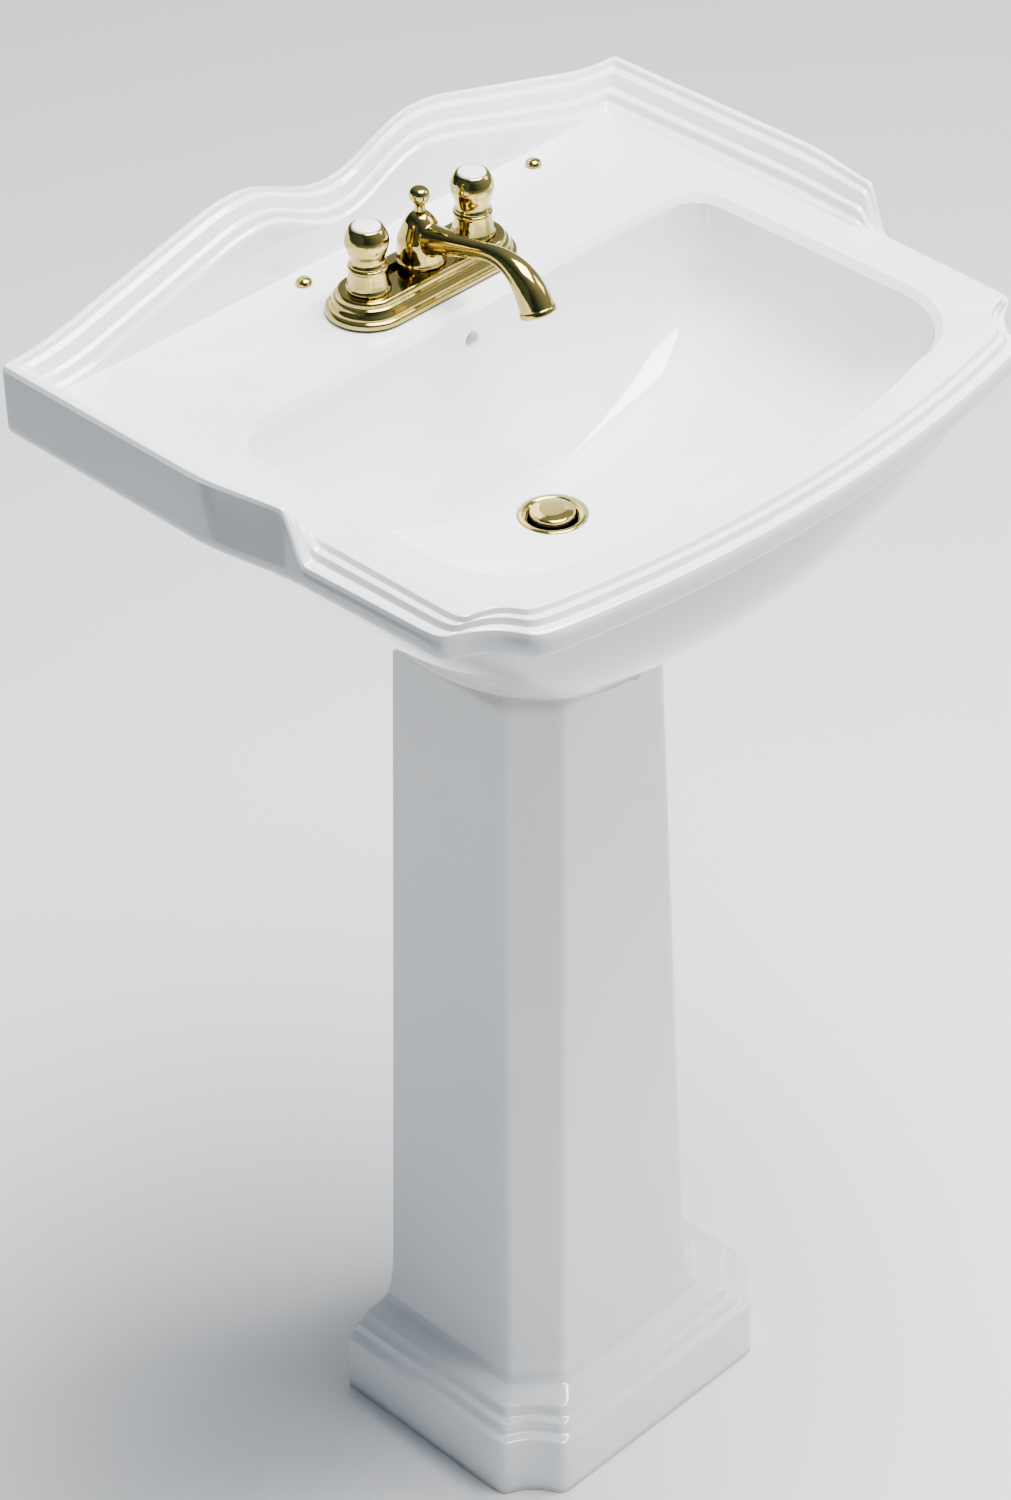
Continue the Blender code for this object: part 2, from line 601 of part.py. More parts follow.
# heights above the deck
GASKET_TOP = 1.5 * MM
PLATE_RADIUS = 25 * MM
SHANK_RADIUS = 10 * MM
SHANK_DROP = 45 * MM
BOSS_RADIUS = 9.6 * MM          # the boss under the spout
SEAT_RADIUS = 8.3 * MM          # the two valve seats
WATER_OFFSET = 6.5 * MM         # the water passage runs this far in front of the lift rod
ROD_HOLE = 2.9 * MM
CARTRIDGE_RADIUS = 6.2 * MM
AERATOR_RADIUS = 8 * MM


def deck_point(x, z, forward=0.0):
    """A point over the tap's centre line: z above the deck, forward towards the user."""
    return (x, TAP_Y - forward, DECK_Z + z)


def obround(radius, z, steps=8):
    """A straight-sided loop with round ends about the two handle axes."""
    angle = np.linspace(-math.pi / 2, math.pi / 2, steps + 1)
    right = np.stack([HANDLE_X + radius * np.cos(angle), radius * np.sin(angle)], axis=1)
    loop = np.vstack([right, -right])
    return [(x, TAP_Y + y, DECK_Z + z) for x, y in loop]


def tap_profile(points):
    """Profile points written in millimetres as (radius, height above the deck)."""
    return [(r * MM, h * MM) for r, h in points]


def make_base(brass, rubber):
    gasket = [obround(PLATE_RADIUS - 1 * MM, GAP), obround(PLATE_RADIUS - 1 * MM, GASKET_TOP),
              obround(15 * MM, GASKET_TOP), obround(15 * MM, GAP)]
    ring_solid("faucet_gasket", gasket, rubber)
    floor = GASKET_TOP + GAP
    tiers = [(25, floor / MM), (25, 4.0), (24.4, 4.6), (22.6, 5.0), (22.4, 6.6), (20.6, 8.4),
             (19.9, 10.6), (18.6, 11.2), (18.3, 14.2), (17.6, 15.0)]
    inside = [(12.5, 12.4), (16.5, 12.4), (21.5, 3.4), (21.5, floor / MM)]
    rings = [obround(r * MM, h * MM) for r, h in inside + tiers]
    plate = ring_solid("faucet_base_plate", rings, brass, closed=False, smooth_angle=50)
    for x, hole in ((-HANDLE_X, SEAT_RADIUS), (0, BOSS_RADIUS), (HANDLE_X, SEAT_RADIUS)):
        cutter = rod_cutter(f"plate_hole_{round(x / MM)}", deck_point(x, 8 * MM),
                            deck_point(x, 20 * MM), hole + GAP)
        cut(plate, cutter)


def make_waterway(brass):
    """One casting under the plate: a bar with two threaded shanks, two seats and the spout's boss.
    The exact solver leaves open edges on this piece, so it is joined and drilled with the other."""
    bar = ring_solid("faucet_waterway", [obround(11 * MM, 3 * MM), obround(11 * MM, 11.8 * MM)],
                     brass, closed=False)
    passage = 8 * MM
    added = [("spout_boss", 0, 10 * MM, 16 * MM, BOSS_RADIUS)]
    drilled = []
    for side, x in (("hot", -HANDLE_X), ("cold", HANDLE_X)):
        added.append((f"{side}_shank", x, -SHANK_DROP, 5 * MM, SHANK_RADIUS))
        added.append((f"{side}_seat", x, 10 * MM, 17 * MM, SEAT_RADIUS))
        drilled.append((f"{side}_inlet", x, -SHANK_DROP - 1 * MM, 6 * MM, 6 * MM))
        drilled.append((f"{side}_pocket", x, 5.5 * MM, 18 * MM, CARTRIDGE_RADIUS + GAP))
    drilled.append(("rod_passage", 0, 0, 17 * MM, ROD_HOLE))
    for name, x, low, high, radius in added:
        cut(bar, rod_cutter(name, deck_point(x, low), deck_point(x, high), radius), "UNION",
            "MANIFOLD")
    for name, x, low, high, radius in drilled:
        cut(bar, rod_cutter(name, deck_point(x, low), deck_point(x, high), radius), "DIFFERENCE",
            "MANIFOLD")
    cut(bar, rod_cutter("cross_passage", deck_point(-HANDLE_X, passage, WATER_OFFSET),
                        deck_point(HANDLE_X, passage, WATER_OFFSET), 2.4 * MM, 12),
        "DIFFERENCE", "MANIFOLD")
    cut(bar, rod_cutter("boss_passage", deck_point(0, passage, WATER_OFFSET),
                        deck_point(0, 17 * MM, WATER_OFFSET), 2.2 * MM, 12),
        "DIFFERENCE", "MANIFOLD")


def make_shank_fixings(side, x, brass, rubber):
    washer_top = -CHINA - GAP
    washer(f"{side}_mounting_washer", deck_point(x, washer_top - 1.7 * MM), 16 * MM,
           SHANK_RADIUS + GAP, 1.7 * MM, rubber)
    hex_nut(f"{side}_mounting_nut", deck_point(x, washer_top - 1.7 * MM - GAP - 8 * MM),
            28 * MM, SHANK_RADIUS + GAP, 8 * MM, brass)


def make_valve(side, x, brass, chrome, button_white):
    """Cartridge and bonnet stay put; stem, handle, screw and button turn about the valve's axis."""
    axis = deck_point(x, 0)
    turned(f"{side}_cartridge", tap_profile(
        [(3.3, 7.5), (6.2, 7.5), (6.2, 17.3), (8.2, 17.3), (8.2, 21), (5.8, 21.6), (5.8, 27),
         (3.3, 27)]), axis, brass)
    turned(f"{side}_bonnet", tap_profile(
        [(8.8, 15.3), (12.8, 15.3), (12.9, 16.6), (12.1, 17.8), (11.6, 21), (11.1, 25), (11, 28.2),
         (11.3, 29.2), (10.6, 30.3), (6.4, 30.3), (6.4, 23.5), (8.8, 22)]),
        axis, brass, 24, smooth_angle=50)
    turned(f"{side}_valve_stem", tap_profile(
        [(0, 9), (2.8, 9), (2.8, 41.7), (1.8, 41.7), (1.8, 34), (0, 34)]), axis, chrome, 16)
    turned(f"{side}_handle", tap_profile(
        [(3.1, 30.6), (10.6, 30.6), (10.8, 31.8), (9.9, 33), (9.8, 34.4), (10.6, 37), (11.8, 40.4),
         (12.7, 44), (12.7, 46.4), (12, 49.4), (10.8, 52.2), (9.4, 54.1), (8.5, 54.3), (8.5, 51.5),
         (5.5, 51.5), (5.5, 47), (2.1, 47), (2.1, 42), (3.1, 42)]),
        axis, brass, 24, smooth_angle=50)
    turned(f"{side}_handle_screw", tap_profile(
        [(0, 35), (1.5, 35), (1.5, 47.3), (4, 47.3), (4, 49.6), (0, 49.6)]), axis, chrome, 12)
    turned(f"{side}_index_button", tap_profile(
        [(0, 51.8), (8.2, 51.8), (8.2, 54.4), (7.2, 55.2), (4.5, 55.7), (0, 55.9)]),
        axis, button_white, 24, smooth_angle=50)


def arm_stations():
    """The spout arm's centre line and radius: (distance from the wall, above the deck, radius)."""
    table = [(80, 29.5, 10.6), (91, 32, 9), (101, 34.2, 7.4), (112, 36.7, 6), (124, 39.5, 5.2),
             (135, 41.8, 5.2), (145, 42, 6), (153.5, 39.8, 7.2), (160.5, 35.5, 8.4),
             (166, 29.8, 9.3), (169.4, 24, 9.8), (171.2, 20, 10)]
    return [((0, WALL_Y - d * MM, DECK_Z + h * MM), r * MM) for d, h, r in table]


def make_spout(brass, rubber, plastic):
    axis = deck_point(0, 0)
    body = turned("spout", tap_profile(
        [(0, 18.3), (11, 18.3), (11, 15.3), (14.4, 15.3), (14.6, 16.6), (13.7, 18), (13.7, 29),
         (13.2, 31), (11.6, 34.5), (10.4, 37.5), (8.8, 41), (6.6, 44), (4.4, 45.8), (0, 46.5)]),
        axis, brass, 28, smooth_angle=50)
    stations = arm_stations()
    path = [point for point, radius in stations]
    arm_rings = pipe_rings(path, [radius for point, radius in stations], 20)
    cut(body, as_cutter(ring_solid("spout_arm", arm_rings, None, closed=False)), "UNION",
        "MANIFOLD")
    cut(body, rod_cutter("spout_rod_hole", deck_point(0, 14 * MM), deck_point(0, 50 * MM),
                         ROD_HOLE, 12), "DIFFERENCE", "MANIFOLD")
    start = [deck_point(0, 15 * MM, WATER_OFFSET), deck_point(0, 28 * MM, WATER_OFFSET)]
    bore = start + path[2:]
    bore_rings = pipe_rings(bore, [2.2 * MM] * 2 + [3 * MM] * (len(bore) - 2), 10)
    cut(body, as_cutter(ring_solid("spout_bore", bore_rings, None, closed=False)), "DIFFERENCE",
        "MANIFOLD")
    outlet, before = Vector(path[-1]), Vector(path[-2])
    down = (outlet - before).normalized()
    cut(body, rod_cutter("aerator_pocket", outlet - down * 9 * MM, outlet + down * 2 * MM,
                         AERATOR_RADIUS + GAP), "DIFFERENCE", "MANIFOLD")
    seal = turned("spout_seal", tap_profile([(0, 16.3), (10.6, 16.3), (10.6, 18), (0, 18)]),
                  axis, rubber)
    cut(seal, rod_cutter("seal_rod_hole", deck_point(0, 14 * MM), deck_point(0, 20 * MM),
                         ROD_HOLE, 12))
    cut(seal, rod_cutter("seal_water_hole", deck_point(0, 14 * MM, WATER_OFFSET),
                         deck_point(0, 20 * MM, WATER_OFFSET), 2.2 * MM, 12))
    top = outlet - down * (9 * MM - GAP)
    turned("aerator_shell", tap_profile(
        [(6.8, 0), (8, 0), (8, 9.8), (7.4, 10.4), (5.8, 10.4), (5.8, 9), (6.8, 9)]),
        top, brass, 20, down)
    turned("aerator_screen", tap_profile([(0, 6.6), (6.5, 6.6), (6.5, 8.7), (0, 8.7)]),
           top, plastic, 20, down)


# ======================= pop-up waste =======================

LIFT_TRAVEL = 10 * MM
BALL_OFFSET = 24 * MM           # waste centre to the ball that the pivot rod turns on
BALL_RADIUS = 5.6 * MM
PIVOT_DROP = 62 * MM            # waste to the ball
PIVOT_ROD_RADIUS = 2.5 * MM
PORT_BORE = 6.9 * MM
PORT_RADIUS = 9 * MM
PORT_END = 31 * MM
BODY_RADIUS = 16.4 * MM
TAIL_RADIUS = 14.3 * MM
BALL_Y = WASTE_Y + BALL_OFFSET
BALL_Z = WASTE_Z - PIVOT_DROP
OUTER_ARM = TAP_Y - BALL_Y      # ball to the lift rod's strap
REST_TILT = math.atan2(LIFT_TRAVEL / 2, OUTER_ARM)
STRAP_EYE_Z = BALL_Z - LIFT_TRAVEL / 2
STOPPER_EYE_Z = BALL_Z + BALL_OFFSET * math.tan(REST_TILT)


def make_lift_rod(brass, chrome):
    """The rod behind the spout with its knob, and the strap that carries it to the pivot rod."""
    axis = deck_point(0, 0)
    rod_bottom = WASTE_Z + 16 * MM
    top = 55.7 * MM
    turned("lift_rod", [(0, rod_bottom - DECK_Z), (2 * MM, rod_bottom - DECK_Z), (2 * MM, top),
                        (0, top)], axis, chrome, 12)
    turned("lift_knob", tap_profile(
        [(2.3, 46.8), (3.3, 46.8), (3.1, 49), (3.3, 51.6), (4.5, 53.4), (5.5, 55.2), (5.8, 57.2),
         (5.4, 59.2), (4.2, 60.7), (2.2, 61.4), (0, 61.5), (0, 56.1), (2.3, 56.1)]),
        axis, brass, 24, smooth_angle=60)
    collar = rod_bottom + 3 * MM
    behind = TAP_Y + 2.6 * MM
    strap = box_body("clevis_strap", (-4 * MM, behind, STRAP_EYE_Z - 7 * MM),
                     (4 * MM, behind + 1.6 * MM, collar + 10 * MM), chrome)
    clamp = box_cutter("clevis_block", (-5 * MM, TAP_Y - 4.5 * MM, collar),
                       (5 * MM, behind + 1.6 * MM, collar + 10 * MM))
    cut(strap, clamp, "UNION")
    cut(strap, rod_cutter("clevis_rod_hole", (0, TAP_Y, collar - 1 * MM),
                          (0, TAP_Y, collar + 11 * MM), 2 * MM + GAP, 12))
    cut(strap, rod_cutter("clevis_screw_hole", (0, TAP_Y - 6 * MM, collar + 5 * MM),
                          (0, TAP_Y - 1 * MM, collar + 5 * MM), 1.5 * MM + GAP, 12))
    cut(strap, rod_cutter("strap_eye", (0, behind - 1 * MM, STRAP_EYE_Z),
                          (0, behind + 3 * MM, STRAP_EYE_Z), PIVOT_ROD_RADIUS + 1.1 * MM, 16))
    turned("clevis_screw", tap_profile(
        [(0, -2.4), (1.5, -2.4), (1.5, -4.8), (4, -4.8), (4, -8.8), (3.5, -9.4), (0, -9.4)]),
        (0, TAP_Y, collar + 5 * MM), brass, 16, (0, 1, 0))


def box_body(name, low, high, material):
    item = box_cutter(name, low, high)
    item.hide_render = False
    item.hide_set(False)
    item.display_type = "TEXTURED"
    item.data.materials.append(material)
    return item


def make_pivot(chrome, brass, rubber):
    ball = Vector((0, BALL_Y, BALL_Z))
    along = Vector((0, math.cos(REST_TILT), -math.sin(REST_TILT)))
    neck = math.sqrt(BALL_RADIUS ** 2 - PIVOT_ROD_RADIUS ** 2)
    start = math.atan2(PIVOT_ROD_RADIUS, neck)
    arc = [(BALL_RADIUS * math.sin(a), -BALL_RADIUS * math.cos(a))
           for a in np.linspace(start, math.pi - start, 9)]
    inner = -(BALL_OFFSET + 3 * MM) / math.cos(REST_TILT)
    outer = (OUTER_ARM + 9 * MM) / math.cos(REST_TILT)
    profile = [(0, inner), (PIVOT_ROD_RADIUS, inner)] + arc + [(PIVOT_ROD_RADIUS, outer), (0, outer)]
    turned("pivot_rod", profile, ball, chrome, 16, along)
    base = (0, WASTE_Y, BALL_Z)
    turned("pivot_seal", tap_profile([(4.4, 17.6), (6.6, 17.6), (6.6, 19.8), (4.4, 19.8)]),
           base, rubber, 20, (0, 1, 0))
    turned("pivot_nut", tap_profile(
        [(9.3, 25), (12.3, 25), (12.3, 35), (11.4, 36), (4.8, 36), (4.8, 32.6), (7.6, 31.4),
         (9.3, 31.4)]), base, brass, 20, (0, 1, 0))


def make_drain(brass, rubber, chrome):
    waste = (0, WASTE_Y, WASTE_Z)
    flange = turned("drain_flange", tap_profile(
        [(15, -2.2), (20, -2.2), (20.2, -1.2), (19.4, -0.2), (17.2, 0.2), (15.6, -0.9), (14.1, -2.2),
         (13.7, -4), (13.6, -41.5), (15, -41.5)]), waste, brass, 20, smooth_angle=45)
    body = turned("drain_body", tap_profile(
        [(15.3, -3), (16.4, -3), (16.4, -112), (14.6, -112), (14.6, -94), (13.2, -94), (13.2, -42),
         (15.3, -42)]), waste, brass, 20)
    cut(body, rod_cutter("pivot_port", (0, WASTE_Y + 13.8 * MM, BALL_Z),
                         (0, WASTE_Y + PORT_END, BALL_Z), PORT_RADIUS, 20), "UNION")
    cut(body, rod_cutter("pivot_port_bore", (0, WASTE_Y + 5 * MM, BALL_Z),
                         (0, WASTE_Y + PORT_END + 2 * MM, BALL_Z), PORT_BORE, 20))
    for piece, name in ((body, "body_overflow_slot"), (flange, "flange_overflow_slot")):
        slot = rod_cutter(name, (0, WASTE_Y + 9 * MM, WASTE_Z - OVERFLOW_PORT - 1 * MM),
                          (0, WASTE_Y + 19 * MM, WASTE_Z - OVERFLOW_PORT - 1 * MM), 2.8 * MM, 12)
        cut(piece, slot)
    under = -CHINA - GAP
    bore = BODY_RADIUS + GAP
    washer("drain_gasket", (0, WASTE_Y, WASTE_Z + under - 4 * MM), 24 * MM, bore, 4 * MM, rubber)
    under -= 4 * MM + GAP
    washer("drain_washer", (0, WASTE_Y, WASTE_Z + under - 1.5 * MM), 23 * MM, bore, 1.5 * MM, chrome)
    under -= 1.5 * MM + GAP
    hex_nut("drain_locknut", (0, WASTE_Y, WASTE_Z + under - 8 * MM), 44 * MM, bore, 8 * MM, brass)
    eye = (STOPPER_EYE_Z - WASTE_Z) / MM
    lift = LIFT_TRAVEL / MM * BALL_OFFSET / OUTER_ARM
    stopper = turned("stopper", tap_profile(
        [(0, eye - 7), (4.6, eye - 7), (4.6, -12), (6, -7.5 + lift), (10.2, -5.3 + lift),
         (10.2, -2.8 + lift), (13.1, -2.6 + lift), (13.3, -1.6 + lift), (12.2, -0.4 + lift),
         (8, 0.6 + lift), (0, 1.1 + lift)]), waste, brass, 24, smooth_angle=45)
    cut(stopper, rod_cutter("stopper_eye", (0, WASTE_Y - 7 * MM, STOPPER_EYE_Z),
                            (0, WASTE_Y + 7 * MM, STOPPER_EYE_Z), PIVOT_ROD_RADIUS + 1.1 * MM, 14))
    turned("stopper_seal", tap_profile(
        [(10.5, -5 + lift), (12.4, -4.4 + lift), (13.2, -3.1 + lift), (10.5, -3.1 + lift)]),
        waste, rubber, 20)
    washer("tailpiece", (0, WASTE_Y, TAIL_END_Z), TAIL_RADIUS, TAIL_RADIUS - PIPE_WALL,
           WASTE_Z - 95 * MM - TAIL_END_Z, brass)


# ======================= trap =======================

TAIL_END_Z = PEDESTAL_HEIGHT - 90 * MM
TRAP_INLET_Z = TAIL_END_Z + 20 * MM
TRAP_OUTLET_Z = TAIL_END_Z
TRAP_RADIUS = 16 * MM
TRAP_BORE = 14.7 * MM
TRAP_BEND = 26 * MM             # centre-line radius of the U bend
TRAP_BEND_Z = TAIL_END_Z - 30 * MM
OVER_BEND = 22 * MM             # centre-line radius of the bend over the top and down
OUTLET_Y = WASTE_Y + 2 * TRAP_BEND
DROP_Y = OUTLET_Y + 2 * OVER_BEND
PIPE_WALL = 1.3 * MM


def slip_joint(name, washer_name, y, end_z, brass, rubber):
    """A nut over the end of the trap, with a lip above a washer that grips the thinner pipe."""
    lip = 1.9 * MM
    bore = TAIL_RADIUS + GAP
    turned(name, [(TRAP_RADIUS + GAP, -13 * MM), (20.5 * MM, -13 * MM), (20.5 * MM, lip + 2 * MM),
                  (bore, lip + 2 * MM), (bore, lip), (TRAP_RADIUS + GAP, lip)],
           (0, y, end_z), brass, 24)
    washer(washer_name, (0, y, end_z + GAP), TRAP_RADIUS, bore, lip - 2 * GAP, rubber)


def make_trap(brass, rubber):
    sweep = np.linspace(0, math.pi, 13)
    middle = WASTE_Y + TRAP_BEND
    path = [(0, WASTE_Y, TRAP_INLET_Z)]
    path += [(0, middle - TRAP_BEND * math.cos(a), TRAP_BEND_Z - TRAP_BEND * math.sin(a))
             for a in sweep]
    path += [(0, OUTLET_Y, TRAP_OUTLET_Z)]
    pipe("trap_bend", path, TRAP_RADIUS, TRAP_BORE, brass)
    slip_joint("trap_inlet_nut", "trap_inlet_washer", WASTE_Y, TRAP_INLET_Z, brass, rubber)
    slip_joint("trap_union_nut", "trap_union_washer", OUTLET_Y, TRAP_OUTLET_Z, brass, rubber)
    turn_z = TRAP_OUTLET_Z + 14 * MM
    middle = OUTLET_Y + OVER_BEND
    path = [(0, OUTLET_Y, TRAP_OUTLET_Z - 16 * MM)]
    path += [(0, middle - OVER_BEND * math.cos(a), turn_z + OVER_BEND * math.sin(a))
             for a in sweep]
    path += [(0, DROP_Y, 0.5 * MM)]
    pipe("trap_arm", path, TAIL_RADIUS, TAIL_RADIUS - PIPE_WALL, brass, 16)
    turned("floor_flange", tap_profile(
        [(14.6, 0), (31, 0), (31, 1.2), (29, 3.6), (23, 5.6), (18, 8), (16.6, 12), (14.6, 12)]),
        (0, DROP_Y, 0), brass, 20, smooth_angle=50)


# ======================= wall fixings =======================

def make_wall_fixing(side, x, brass, steel):
    """A bracket on the wall under the slab, and a dome-headed screw down through the deck."""
    leg_top = SLAB_Z - GAP
    plate = 3 * MM
    reach = 52 * MM
    bracket = box_body(f"wall_bracket_{side}", (x - 15 * MM, WALL_Y - reach, leg_top - plate),
                       (x + 15 * MM, WALL_Y, leg_top), steel)
    cut(bracket, box_cutter(f"bracket_leg_{side}", (x - 15 * MM, WALL_Y - plate, leg_top - 68 * MM),
                            (x + 15 * MM, WALL_Y, leg_top)), "UNION")
    y = WALL_Y - FIXING_FROM_WALL
    cut(bracket, rod_cutter(f"bracket_hole_{side}", (x, y, leg_top - 10 * MM),
                            (x, y, leg_top + 5 * MM), FIXING_HOLE, 12))
    cut(bracket, rod_cutter(f"bracket_wall_hole_{side}", (x, WALL_Y - 8 * MM, leg_top - 50 * MM),
                            (x, WALL_Y + 5 * MM, leg_top - 50 * MM), FIXING_HOLE, 12))
    foot = -SLAB_DEPTH - plate - 9 * MM
    profile = [(0, foot), (3 * MM, foot), (3 * MM, GAP), (5 * MM, GAP), (5 * MM, 1.2 * MM),
               (4.2 * MM, 2.8 * MM), (2.4 * MM, 4 * MM), (0, 4.4 * MM)]
    turned(f"fixing_screw_{side}", profile, (x, y, DECK_Z), brass, 16, smooth_angle=50)
    hex_nut(f"fixing_nut_{side}", (x, y, leg_top - plate - GAP - 5 * MM), 10 * MM,
            3 * MM + GAP, 5 * MM, steel, 18)


def build_sink():
    clear_scene()
    china = make_material("china", (0.86, 0.87, 0.88), 0.08)
    brass = make_material("polished_brass", (0.78, 0.58, 0.22), 0.12, 1.0)
    rubber = make_material("rubber", (0.05, 0.05, 0.05), 0.7)
    chrome = make_material("chrome", (0.75, 0.76, 0.78), 0.12, 1.0)
    steel = make_material("zinc_steel", (0.55, 0.56, 0.58), 0.4, 1.0)
    button_white = make_material("button_white", (0.88, 0.87, 0.84), 0.15)
    plastic = make_material("screen_plastic", (0.5, 0.5, 0.5), 0.5)
    make_basin(china)
    make_pedestal(china)
    make_base(brass, rubber)
    make_waterway(brass)
    for side, x in (("hot", -HANDLE_X), ("cold", HANDLE_X)):
        make_shank_fixings(side, x, brass, rubber)
        make_valve(side, x, brass, chrome, button_white)
    make_spout(brass, rubber, plastic)
    make_lift_rod(brass, chrome)
    make_pivot(chrome, brass, rubber)
    make_drain(brass, rubber, chrome)
    make_trap(brass, rubber)
    for side, x in zip(("left", "right"), FIXING_X):
        make_wall_fixing(side, x, brass, steel)


build_sink()
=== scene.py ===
# Looks of the pedestal sink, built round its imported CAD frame. Metres, Z up, wall at +Y.

import json
import math

import bmesh
import bpy
import numpy as np
from mathutils import Matrix, Vector


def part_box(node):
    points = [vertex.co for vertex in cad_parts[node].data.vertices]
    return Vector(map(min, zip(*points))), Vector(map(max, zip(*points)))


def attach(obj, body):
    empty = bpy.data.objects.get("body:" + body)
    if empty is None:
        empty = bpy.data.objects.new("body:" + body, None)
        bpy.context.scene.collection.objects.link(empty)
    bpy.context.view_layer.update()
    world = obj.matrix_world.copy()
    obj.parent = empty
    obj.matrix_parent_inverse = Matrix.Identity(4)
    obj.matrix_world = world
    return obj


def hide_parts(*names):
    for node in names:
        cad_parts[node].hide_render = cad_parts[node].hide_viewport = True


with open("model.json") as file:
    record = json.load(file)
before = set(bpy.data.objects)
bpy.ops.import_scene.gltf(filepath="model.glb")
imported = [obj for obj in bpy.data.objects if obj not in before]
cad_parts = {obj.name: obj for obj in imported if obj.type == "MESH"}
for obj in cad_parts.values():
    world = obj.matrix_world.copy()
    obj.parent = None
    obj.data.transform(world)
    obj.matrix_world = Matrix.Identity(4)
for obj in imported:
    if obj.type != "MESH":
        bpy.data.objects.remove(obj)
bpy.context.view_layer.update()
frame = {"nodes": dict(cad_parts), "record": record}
MM = 0.001


# ---------------------------------------------------------------- basin
# The basin is slip-cast vitreous china with a thick white glaze, bare where it meets the wall
# and on the hidden side. It is one surface: over the moulded edge, down the bowl and back
# underneath. The tap, overflow and pipe openings are then cut through it.

class Value:
    """A shader socket that takes part in arithmetic; each operator adds one Math node."""

    def __init__(self, tree, socket):
        self.tree = tree
        self.socket = socket

    def math(self, operation, first, second):
        node = self.tree.nodes.new("ShaderNodeMath")
        node.operation = operation
        for slot, item in zip(node.inputs, (first, second)):
            if isinstance(item, Value):
                self.tree.links.new(item.socket, slot)
            else:
                slot.default_value = item
        return Value(self.tree, node.outputs[0])

    def __add__(self, other):
        return self.math("ADD", self, other)

    def __radd__(self, other):
        return self.math("ADD", other, self)

    def __sub__(self, other):
        return self.math("SUBTRACT", self, other)

    def __rsub__(self, other):
        return self.math("SUBTRACT", other, self)

    def __mul__(self, other):
        return self.math("MULTIPLY", self, other)

    def __pow__(self, other):
        return self.math("POWER", self, other)


class Finish:
    """A material: its constants are set on the shader, and node() adds whatever varies."""

    def __init__(self, name, **constants):
        self.material = bpy.data.materials.new(name)
        self.material.use_nodes = True
        self.tree = self.material.node_tree
        self.shader = self.tree.nodes["Principled BSDF"]
        for key, value in constants.items():
            socket = key.replace("_", " ").title().replace("Ior", "IOR")
            self.shader.inputs[socket].default_value = value

    def node(self, kind, settings, inputs, output=0):
        """Add a node: its settings first, then values or links for its sockets."""
        node = self.tree.nodes.new("ShaderNode" + kind)
        for key, value in settings.items():
            if key == "stops":
                ramp = node.color_ramp.elements
                while len(ramp) < len(value):
                    ramp.new(0.5)
                for element, (place, colour) in zip(ramp, value):
                    element.position = place
                    element.color = (*colour, 1.0)
            else:
                setattr(node, key, value)
        for key, value in inputs.items():
            if isinstance(value, Value):
                self.tree.links.new(value.socket, node.inputs[key])
            else:
                node.inputs[key].default_value = value
        return Value(self.tree, node.outputs[output])

    def place(self):
        return self.node("TexCoord", {}, {}, "Object")

    def noise(self, scale, detail=3.0, roughness=0.5, vector=None):
        inputs = {"Scale": scale, "Detail": detail, "Roughness": roughness,
                  "Vector": vector or self.place()}
        return self.node("TexNoise", {}, inputs)

    def ramp(self, factor, stops):
        return self.node("ValToRGB", {"stops": stops}, {"Fac": factor})

    def step(self, value, low, high):
        """0 below low and 1 above high, with a smooth change between."""
        return self.node("MapRange", {"interpolation_type": "SMOOTHSTEP"},
                         {"Value": value, "From Min": low, "From Max": high})

    def bump(self, height, distance, strength=1.0):
        normal = self.node("Bump", {}, {"Height": height, "Distance": distance,
                                        "Strength": strength})
        self.feed("Normal", normal)

    def feed(self, name, value):
        self.tree.links.new(value.socket, self.shader.inputs[name])

    def two_tone(self, factor, low, low_colour, high, high_colour):
        """The base colour runs from one tone to another as the factor goes from low to high."""
        self.feed("Base Color", self.ramp(factor, [(low, low_colour), (high, high_colour)]))


def china_finish():
    """Cool white glaze with a faint orange peel; where the glaze attribute is 0 the clay is bare."""
    finish = Finish("white_china_glaze", specular_ior_level=0.55, coat_roughness=0.03)
    glaze = finish.node("Attribute", {"attribute_name": "glaze"}, {}, "Fac")
    glaze = finish.step(glaze, 0.3, 0.7)
    pooled = finish.noise(4.5, 2.0)
    white = finish.ramp(pooled, [(0.35, (0.80, 0.815, 0.835)), (0.65, (0.845, 0.855, 0.87))])
    speck = finish.noise(380.0, 2.0, 0.7)
    clay = finish.ramp(speck, [(0.3, (0.66, 0.62, 0.56)), (0.7, (0.74, 0.71, 0.66))])
    colour = finish.node("Mix", {"data_type": "RGBA"}, {0: glaze, 6: clay, 7: white}, 2)
    finish.feed("Base Color", colour)
    smear = finish.noise(14.0, 3.0)
    finish.feed("Roughness", 0.78 - glaze * (0.74 - smear * 0.07))
    finish.feed("Coat Weight", glaze * 0.6)
    peel = finish.noise(55.0, 1.5)
    grit = finish.noise(900.0, 2.0)
    finish.bump(peel * glaze * 0.35 + grit * (1 - glaze) * 0.25, 0.25 * MM, 0.35)
    return finish.material


china = china_finish()

